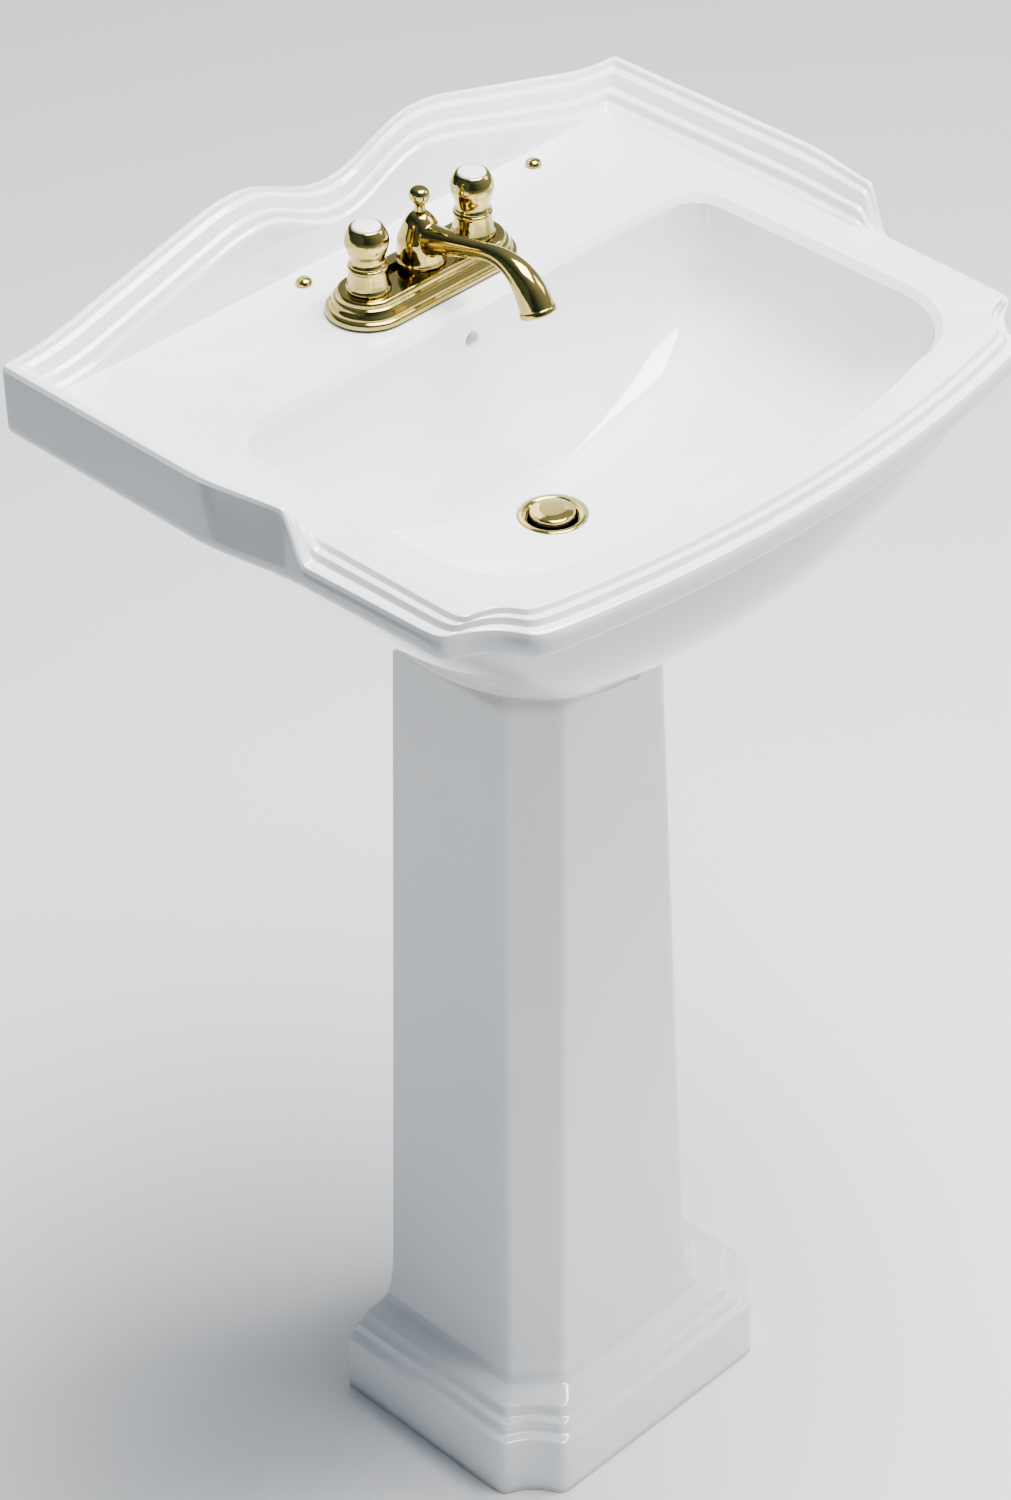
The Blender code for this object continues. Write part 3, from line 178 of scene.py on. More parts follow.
basin_low, basin_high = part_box("basin")
WALL_Y = basin_high[1]
HALF_WIDTH = basin_high[0]
DEPTH = basin_high[1] - basin_low[1]
FOOT_Z = basin_low[2]
DECK_Z = FOOT_Z + 192 * MM
SLAB_Z = DECK_Z - 24 * MM
BOWL_DEPTH = 110 * MM
WASTE_Z = DECK_Z - BOWL_DEPTH
WASTE_FROM_WALL = 181 * MM
WASTE_Y = WALL_Y - WASTE_FROM_WALL
CHINA = 12 * MM
UPSTAND_LENGTH = 228 * MM
FRONT_BOW = 21 * MM
CORNER_CUT = 37 * MM
RIM_MOULDING = 14 * MM
BACKSPLASH_THICKNESS = 19 * MM
BACKSPLASH_RISE = 56 * MM
UPSTAND_THICKNESS = 28.5 * MM
UPSTAND_RISE = 21 * MM
OVERFLOW_DROP = 21 * MM
SCREW_HOLE = 3.6 * MM
TAP_HOLE = 12 * MM
APRON_CORNER = 35 * MM
APRON_STRETCH = 92.5 / 35
FOOT_HALF, FOOT_BACK, FOOT_FRONT = 77 * MM, 112 * MM, 249 * MM
FOOT_CORNER, FOOT_STRETCH = 72 * MM, 1.25
# Steps along half an outline: back edge, back corner, side, front corner, front edge.
BACK, BACK_CORNER, SIDE, CORNER, FRONT = 110, 6, 76, 22, 34


def smooth(t):
    t = np.clip(t, 0.0, 1.0)
    return t * t * (3 - 2 * t)


def softened(values, positions, width):
    """Values along positions, averaged over a sliding width, so that corners become round."""
    fine = np.linspace(positions[0], positions[-1], 1200)
    reach = max(1, int(width / (fine[1] - fine[0]) / 2))
    line = np.interp(fine, positions, values)
    padded = np.concatenate([np.full(reach, line[0]), line, np.full(reach, line[-1])])
    kernel = np.hanning(2 * reach + 3)[1:-1]
    return fine, np.convolve(padded, kernel / kernel.sum(), mode="valid")


def grid_faces(rows, columns, close_rows, close_columns):
    """Quads between neighbouring points of a grid, joined round where a direction is closed."""
    row = np.arange(rows if close_rows else rows - 1)[:, None]
    column = np.arange(columns if close_columns else columns - 1)[None, :]
    next_row = (row + 1) % rows
    next_column = (column + 1) % columns
    corners = [row * columns + column, row * columns + next_column,
               next_row * columns + next_column, next_row * columns + column]
    return np.stack(np.broadcast_arrays(*corners), axis=-1).reshape(-1, 4)


def make_piece(name, points, faces, material, sharp=32.0):
    """A mesh from whole arrays: doubles at its poles are merged and its faces turned outwards."""
    mesh = bpy.data.meshes.new(name)
    mesh.from_pydata(points.reshape(-1, 3).tolist(), [], faces.tolist())
    bm = bmesh.new()
    bm.from_mesh(mesh)
    bmesh.ops.remove_doubles(bm, verts=bm.verts, dist=1e-6)
    bmesh.ops.dissolve_degenerate(bm, edges=bm.edges, dist=1e-7)
    bmesh.ops.recalc_face_normals(bm, faces=bm.faces)
    bm.to_mesh(mesh)
    bm.free()
    mesh.shade_smooth()
    mesh.set_sharp_from_angle(angle=math.radians(sharp))
    mesh.materials.append(material)
    piece = bpy.data.objects.new(name, mesh)
    bpy.context.scene.collection.objects.link(piece)
    return piece


def stand_in(piece, body, slot, *nodes):
    """The piece rides on a body and is shown in place of CAD nodes; the slot argument is not used."""
    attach(piece, body)
    if nodes:
        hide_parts(*nodes)
    return piece


def ring_points(x, distance, z):
    """Right halves of rings (x, distance from the wall, height), closed with their mirror image."""
    x, distance, z = np.broadcast_arrays(x, distance, z)
    right = np.stack([x, WALL_Y - distance, z], axis=-1)
    left = right[:, -2:0:-1] * np.array([-1, 1, 1])
    return np.concatenate([right, left], axis=1)


def rounded_outline(half, back, front, back_radius, front_radius, bow, stretch=1.0):
    """Half outlines of rounded rectangles, one row per given size, with a bowed front edge.
    stretch makes the front corners elliptical: longer from back to front than across."""
    length = front_radius * stretch
    run = np.linspace(0, 1, BACK + 1)[None, :]
    bend = np.linspace(0, math.pi / 2, BACK_CORNER + 1)[None, 1:]
    side = np.linspace(0, 1, SIDE + 1)[None, 1:]
    turn = np.linspace(0, math.pi / 2, CORNER + 1)[None, 1:]
    across = np.linspace(0, 1, FRONT + 1)[None, 1:]
    shoulder = front - bow - length
    x = [run * (half - back_radius), half - back_radius + back_radius * np.sin(bend),
         half + 0 * side, half - front_radius + front_radius * np.cos(turn),
         (half - front_radius) * (1 - across)]
    start = back + back_radius
    distance = [back + 0 * run, start - back_radius * np.cos(bend),
                start + (shoulder - start) * side, shoulder + length * np.sin(turn),
                front - bow * (1 - across) ** 2]
    return np.concatenate(x, axis=1), np.concatenate(distance, axis=1)


def side_half_width(distance):
    """Half width of the slab: straight along the upstands, then stepping and tapering in."""
    step = smooth((distance - (UPSTAND_LENGTH - 78 * MM)) / (78 * MM))
    taper = np.clip((distance - UPSTAND_LENGTH) / (95 * MM), 0, 1)
    return HALF_WIDTH - 10.5 * MM * step - 3.7 * MM * taper


def edge_outline(width_at, back, side_end, front_end, front):
    """Half outline with a hollow scallop between side_end and front_end, the front corner."""
    run = np.linspace(0, 1, BACK + 1)
    radius = 3 * MM
    half = float(width_at(back))
    bend = np.linspace(0, math.pi / 2, BACK_CORNER + 1)[1:]
    drop_from = UPSTAND_LENGTH - 24 * MM
    drop_to = UPSTAND_LENGTH + 3 * MM
    counts = (30, 28, SIDE - 58)
    marks = (back + radius, drop_from, drop_to, side_end[1])
    side = np.concatenate([np.linspace(a, b, n + 1)[1:]
                           for a, b, n in zip(marks, marks[1:], counts)])
    t = np.linspace(0, 1, CORNER + 1)[1:]
    hollow = 6.5 * MM * np.sin(math.pi * t) / math.sqrt(2)
    across = np.linspace(1, 0, FRONT + 1)[1:]
    x = [run * (half - radius), half - radius + radius * np.sin(bend), width_at(side),
         side_end[0] + (front_end[0] - side_end[0]) * t - hollow, front_end[0] * across]
    distance = [back + 0 * run, back + radius - radius * np.cos(bend), side,
                side_end[1] + (front_end[1] - side_end[1]) * t - hollow,
                front - (front - front_end[1]) * across ** 2]
    x, distance = np.concatenate(x), np.concatenate(distance)
    ears = slice(BACK + BACK_CORNER + SIDE - 6, BACK + BACK_CORNER + SIDE + CORNER + 6)
    for line in (x, distance):
        for _ in range(5):
            line[ears] = (line[:-2] + 2 * line[1:-1] + line[2:])[ears.start - 1:ears.stop - 1] / 4
    return x, distance


def slab_outlines():
    """The slab's outer edge and the inner line of its mouldings, point for point."""
    corner = DEPTH - FRONT_BOW
    side_x = float(side_half_width(corner - CORNER_CUT))
    outer = edge_outline(side_half_width, 0.0, (side_x, corner - CORNER_CUT),
                         (side_x - CORNER_CUT, corner), DEPTH)
    inner_x = HALF_WIDTH - UPSTAND_THICKNESS
    slip = 0.42 * RIM_MOULDING
    inner = edge_outline(lambda distance: inner_x + 0 * distance, BACKSPLASH_THICKNESS,
                         (inner_x, corner - CORNER_CUT + slip),
                         (side_x - CORNER_CUT - slip, corner - RIM_MOULDING), DEPTH - RIM_MOULDING)
    return outer, inner


def backsplash_height(x):
    """Backsplash outline over the deck: a cosine dip, a rounded shoulder, a slope and a flare."""
    shoulder, crown, flare, dip = 70 * MM, 30 * MM, 46.5 * MM, 20 * MM
    straight = HALF_WIDTH - shoulder - crown - flare
    slope = (BACKSPLASH_RISE - UPSTAND_RISE) / (crown / 2 + straight + flare / 2)
    run = np.maximum(x - shoulder, 0)
    tail = np.clip(run - crown - straight, 0, flare)
    drop = slope * (np.minimum(run, crown) ** 2 / (2 * crown)
                    + np.clip(run - crown, 0, straight) + tail - tail ** 2 / (2 * flare))
    middle = dip * (1 + np.cos(math.pi * np.clip(x / shoulder, 0, 1))) / 2
    return BACKSPLASH_RISE - drop - middle


def moulded_edge():
    """Rows from the outer edge to the deck: a flat bead, a cove and two quirks along the
    upstands, and two low steps along the front; fractions run across the moulding."""
    (outer_x, outer_d), (inner_x, inner_d) = slab_outlines()
    high = ([0, .05, .20, .235, .42, .53, .69, .74, .86, .985, 1.0],
            [2.6, 0, 0, 3.4, 4.8, 12, 13, 17.6, 19.2, 100, 100])
    low = ([0, .06, .20, .42, .53, .75, .86, 1.0], [-3.4, -.6, 0, .4, 4.2, 4.6, 7.7, 8.0])
    share = np.concatenate([np.linspace(0, .25, 20), np.linspace(.265, .9, 44),
                            np.linspace(.91, 1, 8)])
    drop = np.interp(share, *softened(high[1][:9], high[0][:9], 0.035)) * MM
    rise = np.interp(share, *softened(low[1], low[0], 0.05)) * MM
    s = share[:, None]
    x = outer_x + (inner_x - outer_x) * s
    distance = outer_d + (inner_d - outer_d) * s
    behind = outer_d[None, :] < 2.95 * MM
    top = np.where(behind, backsplash_height(outer_x)[None, :], UPSTAND_RISE)
    plain = smooth((s - .86) / .14)
    raised_z = (top - drop[:, None]) * (1 - plain) + 0.0 * plain
    raised_z = np.maximum(raised_z, 0.0)
    fade = 1 - smooth((outer_d[None, :] - (UPSTAND_LENGTH - 16 * MM)) / (16 * MM))
    z = DECK_Z + fade * raised_z + (1 - fade) * (rise[:, None] - 8 * MM)
    return ring_points(x, distance, z)


def bowl_rows():
    """The bowl: each row is a rounded rectangle that shrinks by powers of its share of the depth
    and turns into a circle at the waste."""
    share = np.sin(np.linspace(0.0, math.pi / 2, 52))[:, None]
    side = (1 - share ** 3.2) ** 0.6
    front = (1 - share ** 2) ** 0.75
    back = (1 - share ** 2.2) ** 0.7
    seat = 26 * MM
    half = seat + (HALF_WIDTH - 59 * MM - seat) * side
    front_line = WASTE_FROM_WALL + seat
    front_line = front_line + (DEPTH - 32 * MM - front_line) * front
    back_line = WASTE_FROM_WALL - seat
    back_line = back_line + (118.5 * MM - back_line) * back
    near_round = 20 * MM * (1 - side)
    x, distance = rounded_outline(half, back_line, front_line, 22 * MM * side + near_round,
                                  55 * MM * side + near_round, 16 * MM * side)
    spread = np.stack([x, distance - WASTE_FROM_WALL], axis=-1)
    length = np.linalg.norm(spread, axis=-1, keepdims=True)
    lip_angle = np.linspace(math.pi / 2, 0, 9)[:-1, None, None]
    lip_radius = 4.5 * MM
    lip = spread[:1] + spread[:1] / length[:1] * lip_radius * np.sin(lip_angle)
    lip_z = DECK_Z - lip_radius * (1 - np.sin(lip_angle[:, :, 0]))
    sunk = DECK_Z - lip_radius - (BOWL_DEPTH - lip_radius) * share
    lip_rows = ring_points(lip[..., 0], lip[..., 1] + WASTE_FROM_WALL, lip_z)
    wall_rows = ring_points(x, distance, sunk)
    unit = spread[-1:] / length[-1:]
    recess = [(21.6, 0.0), (20.8, 0.35), (20.5, 1.0), (20.5, 2.5), (17.0, 2.5)]
    floor = [ring_points(unit[..., 0] * r * MM, unit[..., 1] * r * MM + WASTE_FROM_WALL,
                         WASTE_Z - drop * MM) for r, drop in recess]
    return np.concatenate([lip_rows, wall_rows] + floor)


def under_rows():
    """The outside from the slab's edge down the apron to the foot, then the hollow inside."""
    (outer_x, outer_d), (inner_x, inner_d) = slab_outlines()
    s = np.array([0, 0, .03, .08, .16, .30])[:, None]
    z = SLAB_Z + np.array([9, 5.5, 3.0, 1.3, .3, 0])[:, None] * MM
    slab = ring_points(outer_x + (inner_x - outer_x) * s, outer_d + (inner_d - outer_d) * s, z)
    share = np.linspace(1, 0, 34)[:, None] ** 1.25
    top = rounded_outline(np.array([[HALF_WIDTH - 27.5 * MM]]), 105 * MM, DEPTH - 27 * MM,
                          30 * MM, APRON_CORNER, 16 * MM, APRON_STRETCH)
    slope = 1 - (1 - share) ** 1.18
    belly = (1 - (1 - share) ** 1.4) ** 1.2
    side_share = slope + (belly - slope) * smooth((top[1] - 150 * MM) / (150 * MM))
    front_share = (1 - (1 - share) ** 3.7) ** 2.95
    foot = rounded_outline(np.array([[FOOT_HALF]]), FOOT_BACK, FOOT_FRONT, 14 * MM, FOOT_CORNER,
                           3 * MM, FOOT_STRETCH)
    x = foot[0] + (top[0] - foot[0]) * side_share
    distance = foot[1] + (top[1] - foot[1]) * front_share
    height = SLAB_Z - FOOT_Z
    rows = [slab, ring_points(x, distance, FOOT_Z + height * share)]
    inside_foot = rounded_outline(np.array([[54.5 * MM]]), 127.4 * MM, 216.5 * MM, 8 * MM,
                                  12 * MM, 1 * MM)
    rows.append(ring_points(*inside_foot, FOOT_Z))
    for level, wall in ((0.10, 15), (0.26, 15), (0.44, 15), (0.48, 31)):
        pick = int(np.abs(share[:, 0] - level).argmin())
        shrink_x, shrink_d = drawn_in(x[pick:pick + 1], distance[pick:pick + 1], wall * MM)
        rows.append(ring_points(shrink_x, shrink_d, FOOT_Z + height * level))
    spread = np.stack([shrink_x, shrink_d - WASTE_FROM_WALL], axis=-1)
    unit = spread / np.linalg.norm(spread, axis=-1, keepdims=True)
    for radius in (40, 17):
        rows.append(ring_points(unit[..., 0] * radius * MM,
                                unit[..., 1] * radius * MM + WASTE_FROM_WALL, WASTE_Z - CHINA))
    return np.concatenate(rows)


def drawn_in(x, distance, wall):
    """An outline drawn towards the waste by the thickness of a wall."""
    reach = np.hypot(x, distance - WASTE_FROM_WALL)
    keep = 1 - wall / reach
    return x * keep, WASTE_FROM_WALL + (distance - WASTE_FROM_WALL) * keep


def turned_points(profile, base, direction, segments):
    """Each (radius, height) of the profile swept round the axis: one row per profile point."""
    axis = Vector(direction).normalized()
    side = axis.orthogonal().normalized()
    other = axis.cross(side)
    angle = np.linspace(0, math.tau, segments, endpoint=False)
    round_axis = np.cos(angle)[:, None] * np.array(side) + np.sin(angle)[:, None] * np.array(other)
    profile = np.asarray(profile)
    return (np.array(base) + profile[:, :1, None] * round_axis[None]
            + profile[:, 1:, None] * np.array(axis))


def plug(start, end, radius, segments=40):
    """A plain cylinder for cutting a hole, closed at both ends."""
    length = (Vector(end) - Vector(start)).length
    profile = [(0, 0), (radius, 0), (radius, length), (0, length)]
    points = turned_points(profile, start, Vector(end) - Vector(start), segments)
    return make_piece("cutter", points, grid_faces(4, segments, False, True), china)


def block(low, high):
    """A box between two corners, for cutting."""
    low, high = np.array(low), np.array(high)
    corners = np.array([[x, y, z] for z in (0, 1) for y in (0, 1) for x in (0, 1)])
    faces = np.array([[0, 2, 3, 1], [4, 5, 7, 6], [0, 1, 5, 4], [2, 6, 7, 3], [0, 4, 6, 2],
                      [1, 3, 7, 5]])
    return make_piece("cutter", low + corners * (high - low), faces, china)


def through_deck(x, y, radius):
    """A cutter for an upright hole through the basin's deck."""
    return plug((x, y, DECK_Z - 30 * MM), (x, y, DECK_Z + 10 * MM), radius)


def cut_through(piece, cutters):
    """Subtract the cutters and keep the result as the piece's own mesh."""
    for cutter in cutters:
        modifier = piece.modifiers.new(cutter.name, "BOOLEAN")
        modifier.operation = "DIFFERENCE"
        modifier.solver = "MANIFOLD"
        modifier.object = cutter
    bpy.context.view_layer.update()
    result = bpy.data.meshes.new_from_object(piece.evaluated_get(
        bpy.context.evaluated_depsgraph_get()))
    piece.modifiers.clear()
    piece.data = result
    result.shade_smooth()
    result.set_sharp_from_angle(angle=math.radians(32))
    for cutter in cutters:
        bpy.data.objects.remove(cutter, do_unlink=True)


def mark_glaze(piece, glazed):
    """Store on every point whether it is glazed, from a test on its coordinates."""
    count = len(piece.data.vertices)
    places = np.empty(count * 3)
    piece.data.vertices.foreach_get("co", places)
    x, y, z = places.reshape(-1, 3).T
    layer = piece.data.attributes.new("glaze", "FLOAT", "POINT")
    layer.data.foreach_set("value", glazed(x, y, z).astype(float))


TAP_FROM_WALL = 79.4 * MM
TAP_Y = WALL_Y - TAP_FROM_WALL
HANDLE_X = 41.2 * MM


def make_basin():
    """The whole basin from its three runs of rows, with its openings cut."""
    points = np.concatenate([moulded_edge(), bowl_rows(), under_rows()[::-1]])
    rows, columns = points.shape[:2]
    basin = make_piece("glazed_basin", points, grid_faces(rows, columns, True, True), china)
    cutters = [block((-HALF_WIDTH + 55 * MM, WALL_Y - 103.5 * MM, SLAB_Z - 20 * MM),
                     (HALF_WIDTH - 55 * MM, WALL_Y - CHINA, DECK_Z - CHINA)),
               block((-38 * MM, WALL_Y - 141.4 * MM, FOOT_Z - 10 * MM),
                     (38 * MM, WALL_Y - 85 * MM, WASTE_Z - 24 * MM))]
    for x in (-HANDLE_X, 0, HANDLE_X):
        cutters.append(through_deck(x, TAP_Y, TAP_HOLE))
    for node in ("fixing_screw_left", "fixing_screw_right"):
        low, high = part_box(node)
        cutters.append(through_deck((low[0] + high[0]) / 2, (low[1] + high[1]) / 2, SCREW_HOLE))
    mouth = DECK_Z - OVERFLOW_DROP
    cutters.append(plug((0, WALL_Y - 112 * MM, mouth), (0, WALL_Y - 136 * MM, mouth), 5.2 * MM))
    cut_through(basin, cutters)
    mark_glaze(basin, lambda x, y, z: (y < WALL_Y - 0.4 * MM) & (z > FOOT_Z + 0.6 * MM)
               & ((z > WASTE_Z - 3 * MM) | (np.hypot(x, y - WASTE_Y) > 70 * MM)))
    stand_in(basin, "root", "china", "basin")


make_basin()


# ---------------------------------------------------------------- pedestal
# The pedestal is the same glazed china, hollow and open at the back. A square column with cut
# front corners stands on a plinth; the plinth's corners are scalloped and three low steps climb
# from it to the column.

def section_rows(half, back, front, corner, scallop):
    """Half sections with a cut front corner that may be hollowed; one row per height."""
    run = np.linspace(0, 1, 18)[None, :]
    t = np.linspace(0, 1, 25)[None, 1:]
    across = np.linspace(1, 0, 19)[None, 1:]
    hollow = scallop * np.sin(math.pi * t) ** 0.8 / math.sqrt(2)
    edge = front - corner
    x = np.concatenate([half + 0 * run, half - corner * t - hollow,
                        (half - corner) * across], axis=1)
    distance = np.concatenate([back + (edge - back) * run, edge + corner * t - hollow,
                               front + 0 * across], axis=1)
    return x, distance


def rounded_corners(x, distance, passes=3):
    """Outline points averaged with their neighbours, which rounds the hard edges a little."""
    for _ in range(passes):
        x[:, 1:-1] = (x[:, :-2] + 2 * x[:, 1:-1] + x[:, 2:]) / 4
        distance[:, 1:-1] = (distance[:, :-2] + 2 * distance[:, 1:-1] + distance[:, 2:]) / 4
    return x, distance


def make_pedestal():
    """The column and plinth as one loop of outline per height, closed at both ends."""
    low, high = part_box("pedestal")
    top = high[2]
    plinth_half, plinth_front = high[0], WALL_Y - low[1]
    stations = np.concatenate([np.linspace(0, 42, 6), np.linspace(42.5, 72, 60),
                               np.linspace(74, 104, 16), np.linspace(115, top / MM, 24)]) * MM
    column_half = (169 * MM - 36 * MM * stations / top) / 2
    column_front = 228.5 * MM + 12 * MM * (1 - stations / top)
    column_back = 107.4 * MM + 8 * MM * stations / top
    heights = np.array([0, 43.4, 44.5, 46.3, 47.4, 53, 53.4, 54.3, 59.2, 60.4, 63.6,
                        68, 76, 88, 104])
    insets = np.array([0, 0, .8, 6.0, 6.8, 8.4, 11.6, 12.8, 15.6, 19.2, 29,
                       32.4, 34.6, 35.9, 36.4])
    full = insets[-1]
    share = np.interp(stations, *softened(insets / full, heights * MM, 1.5 * MM))
    half = plinth_half + (column_half - plinth_half) * share
    front = plinth_front + (column_front - plinth_front) * share
    back = 100.5 * MM + (column_back - 100.5 * MM) * share
    corner = 28 * MM - 2.5 * MM * share
    scallop = 5 * MM * (1 - smooth(share))
    columns = [item[:, None] for item in (half, back, front, corner, scallop)]
    outer = rounded_corners(*section_rows(*columns))
    wall = 13 * MM
    inner_half = np.minimum(half, np.interp(stations, [0, 31 * MM, 64 * MM], [1, .98, 0])
                            * (plinth_half - 85 * MM) + 85 * MM)
    outside_half = np.where(stations > 60 * MM, column_half, plinth_half)
    inner_half = np.minimum(inner_half, outside_half) - wall
    inner_front = np.minimum(front - wall, inner_half * 0 + np.where(
        stations < 31 * MM, plinth_front - wall, column_front - wall + 4 * MM * (1 - share)))
    inner = section_rows(inner_half[:, None], back[:, None], inner_front[:, None],
                         (corner - 5 * MM)[:, None], 0 * stations[:, None])
    loop_x = np.concatenate([outer[0], -outer[0][:, -2::-1], -inner[0],
                             inner[0][:, -2::-1]], axis=1)
    loop_d = np.concatenate([outer[1], outer[1][:, -2::-1], inner[1], inner[1][:, -2::-1]], axis=1)
    z = np.broadcast_to(stations[:, None], loop_x.shape)
    points = np.stack([loop_x, WALL_Y - loop_d, z], axis=-1)
    rows, columns = loop_x.shape
    faces = grid_faces(rows, columns, False, True)
    i = np.arange(columns // 2 - 1)
    ends = [np.stack([row * columns + i, row * columns + i + 1,
                      row * columns + columns - 2 - i, row * columns + columns - 1 - i], axis=-1)
            for row in (0, rows - 1)]
    pedestal = make_piece("glazed_pedestal", points, np.concatenate([faces] + ends), china, 40)
    cavity = wall * 0.7
    mark_glaze(pedestal, lambda x, y, z: (z > 1.5 * MM) & (z < top - 0.3 * MM) & (
        (np.abs(x) > np.interp(z, stations, half) - cavity)
        | (WALL_Y - y > np.interp(z, stations, front) - cavity)
        | (np.abs(x) + WALL_Y - y > np.interp(z, stations, half + front - corner) - cavity * 1.4)))
    stand_in(pedestal, "root", "china", "pedestal")


make_pedestal()


# ---------------------------------------------------------------- tap base and valves
# The tap is polished, lacquered brass. A stepped cover plate hides the casting on the deck; each
# valve has a waisted bonnet that stays put and a knob above it that turns, with a white button.

def brass_finish():
    """Warm polished brass: the polish varies in soft smears, with hairline marks and a lacquer."""
    finish = Finish("polished_brass", metallic=1.0, coat_weight=0.12, coat_roughness=0.05)
    tone = finish.noise(24.0, 3.0)
    finish.two_tone(tone, 0.3, (0.36, 0.275, 0.07), 0.7, (0.44, 0.345, 0.10))
    smear = finish.noise(60.0, 4.0, 0.6)
    stretch = finish.node("Mapping", {}, {"Vector": finish.place(), "Scale": (900.0, 900.0, 60.0)})
    hairline = finish.noise(1.0, 2.0, 0.7, stretch)
    finish.feed("Roughness", 0.05 + smear * 0.09 + hairline ** 4.0 * 0.12)
    finish.bump(hairline * 0.2 + smear, 0.02 * MM, 0.3)
    return finish.material


def button_finish():
    """Fired white enamel, glossy and very slightly mottled."""
    finish = Finish("white_enamel", coat_weight=0.5, coat_roughness=0.04)
    tone = finish.noise(120.0, 2.0)
    finish.two_tone(tone, 0.3, (0.80, 0.80, 0.77), 0.7, (0.87, 0.87, 0.85))
    finish.feed("Roughness", 0.10 + tone * 0.08)
    return finish.material


brass = brass_finish()
enamel = button_finish()
DISC = 96


def rounded(points, radius, steps=6):
    """A line through points in millimetres whose corners are curved over up to radius each way."""
    points = np.array(points, float)
    here, before, after = points[1:-1], points[:-2], points[2:]
    t = np.linspace(0, 1, steps)[None, :, None]

    def towards(other):
        gap = other - here
        length = np.linalg.norm(gap, axis=1, keepdims=True)
        return here + gap / length * np.minimum(radius, length * 0.48)
    start, end = towards(before)[:, None], towards(after)[:, None]
    curve = (1 - t) ** 2 * start + 2 * t * (1 - t) * here[:, None] + t ** 2 * end
    return np.concatenate([points[:1], curve.reshape(-1, 2), points[-1:]]) * MM


def turned(name, profile, base, material, direction=(0, 0, 1), segments=DISC, sharp=32.0):
    """A turned piece: a profile that starts and ends on the axis, or a closed ring profile."""
    on_axis = profile[0][0] < 1e-9 and profile[-1][0] < 1e-9
    points = turned_points(profile, base, direction, segments)
    faces = grid_faces(len(profile), segments, not on_axis, True)
    return make_piece(name, points, faces, material, sharp)


def ring_profile(points, radius, steps=6):
    """A closed ring profile with its corners curved, without repeating its first point."""
    return rounded(list(points) + [points[0]], radius, steps)[:-1]


def cover_plate():
    """The plate: obround rows about the two valve axes, over its stepped edge and up inside."""
    outside = rounded([(25, 1.8), (25, 4.1), (23.9, 5.2), (22.7, 5.3), (22.5, 6.9), (20.9, 8.9),
                       (20.2, 11.1), (18.7, 11.4), (18.4, 13.9), (17.2, 15.0), (9, 15.0)], 0.7)
    inside = np.array([(9, 12.4), (16.5, 12.4), (21.5, 3.4), (21.5, 1.8)]) * MM
    profile = np.concatenate([inside, outside])
    angle = np.linspace(-math.pi / 2, math.pi / 2, 49)
    turn = np.concatenate([angle, angle + math.pi])
    centre = np.where(np.arange(len(turn)) < 49, HANDLE_X, -HANDLE_X)
    r, h = profile[:, :1], profile[:, 1:]
    points = np.stack(np.broadcast_arrays(centre + r * np.cos(turn), TAP_Y + r * np.sin(turn),
                                          DECK_Z + h), axis=-1)
    return make_piece("tap_cover_plate", points,
                      grid_faces(len(profile), len(turn), True, True), brass)


stand_in(cover_plate(), "root", "polished_brass", "faucet_base_plate")

for side, x in (("hot", -HANDLE_X), ("cold", HANDLE_X)):
    foot = (x, TAP_Y, DECK_Z)
    bonnet = ring_profile([(8.8, 15.3), (12.8, 15.3), (13.0, 16.4), (12.1, 17.7), (11.6, 20.5),
                           (11.1, 24.5), (10.9, 27.6), (11.5, 28.4), (11.5, 29.4), (10.8, 30.3),
                           (6.4, 30.3), (6.4, 23.5), (8.8, 22)], 0.6)
    stand_in(turned(f"{side}_valve_bonnet", bonnet, foot, brass), "root", "polished_brass",
             f"{side}_bonnet")
    knob = ring_profile([(3.1, 30.6), (10.6, 30.6), (11.0, 31.4), (10.0, 32.8), (9.8, 34.4),
                         (10.5, 37), (11.7, 40.2), (12.7, 44), (12.7, 46.4), (12.0, 49.4),
                         (10.8, 52.2), (9.5, 54.1), (8.5, 54.3), (8.5, 51.5), (5.5, 51.5),
                         (5.5, 47), (2.1, 47), (2.1, 42), (3.1, 42)], 0.9)
    stand_in(turned(f"{side}_turning_knob", knob, foot, brass), f"{side}_handle",
             "polished_brass", f"{side}_handle")
    button = rounded([(0, 51.8), (8.2, 51.8), (8.2, 54.4), (7.2, 55.2), (4.5, 55.7), (0, 55.9)], 1)
    stand_in(turned(f"{side}_button", button, foot, enamel), f"{side}_handle", "button_white",
             f"{side}_index_button")


# ---------------------------------------------------------------- spout
# The spout is one brass casting: a domed body whose arm sweeps forward over the bowl, slim in
# the middle and flaring to the outlet. Body and arm are fused and the join is blended smooth.

def curve_through(points, count):
    """A smooth line through a few points: each span is a cubic that keeps its neighbours' slope."""
    points = np.array(points, float)
    slope = np.gradient(points, axis=0)
    place = np.linspace(0, len(points) - 1, count)
    i = np.minimum(place.astype(int), len(points) - 2)
    t = (place - i)[:, None]
    return ((2 * t ** 3 - 3 * t ** 2 + 1) * points[i] + (t ** 3 - 2 * t ** 2 + t) * slope[i]
            + (3 * t ** 2 - 2 * t ** 3) * points[i + 1] + (t ** 3 - t ** 2) * slope[i + 1])


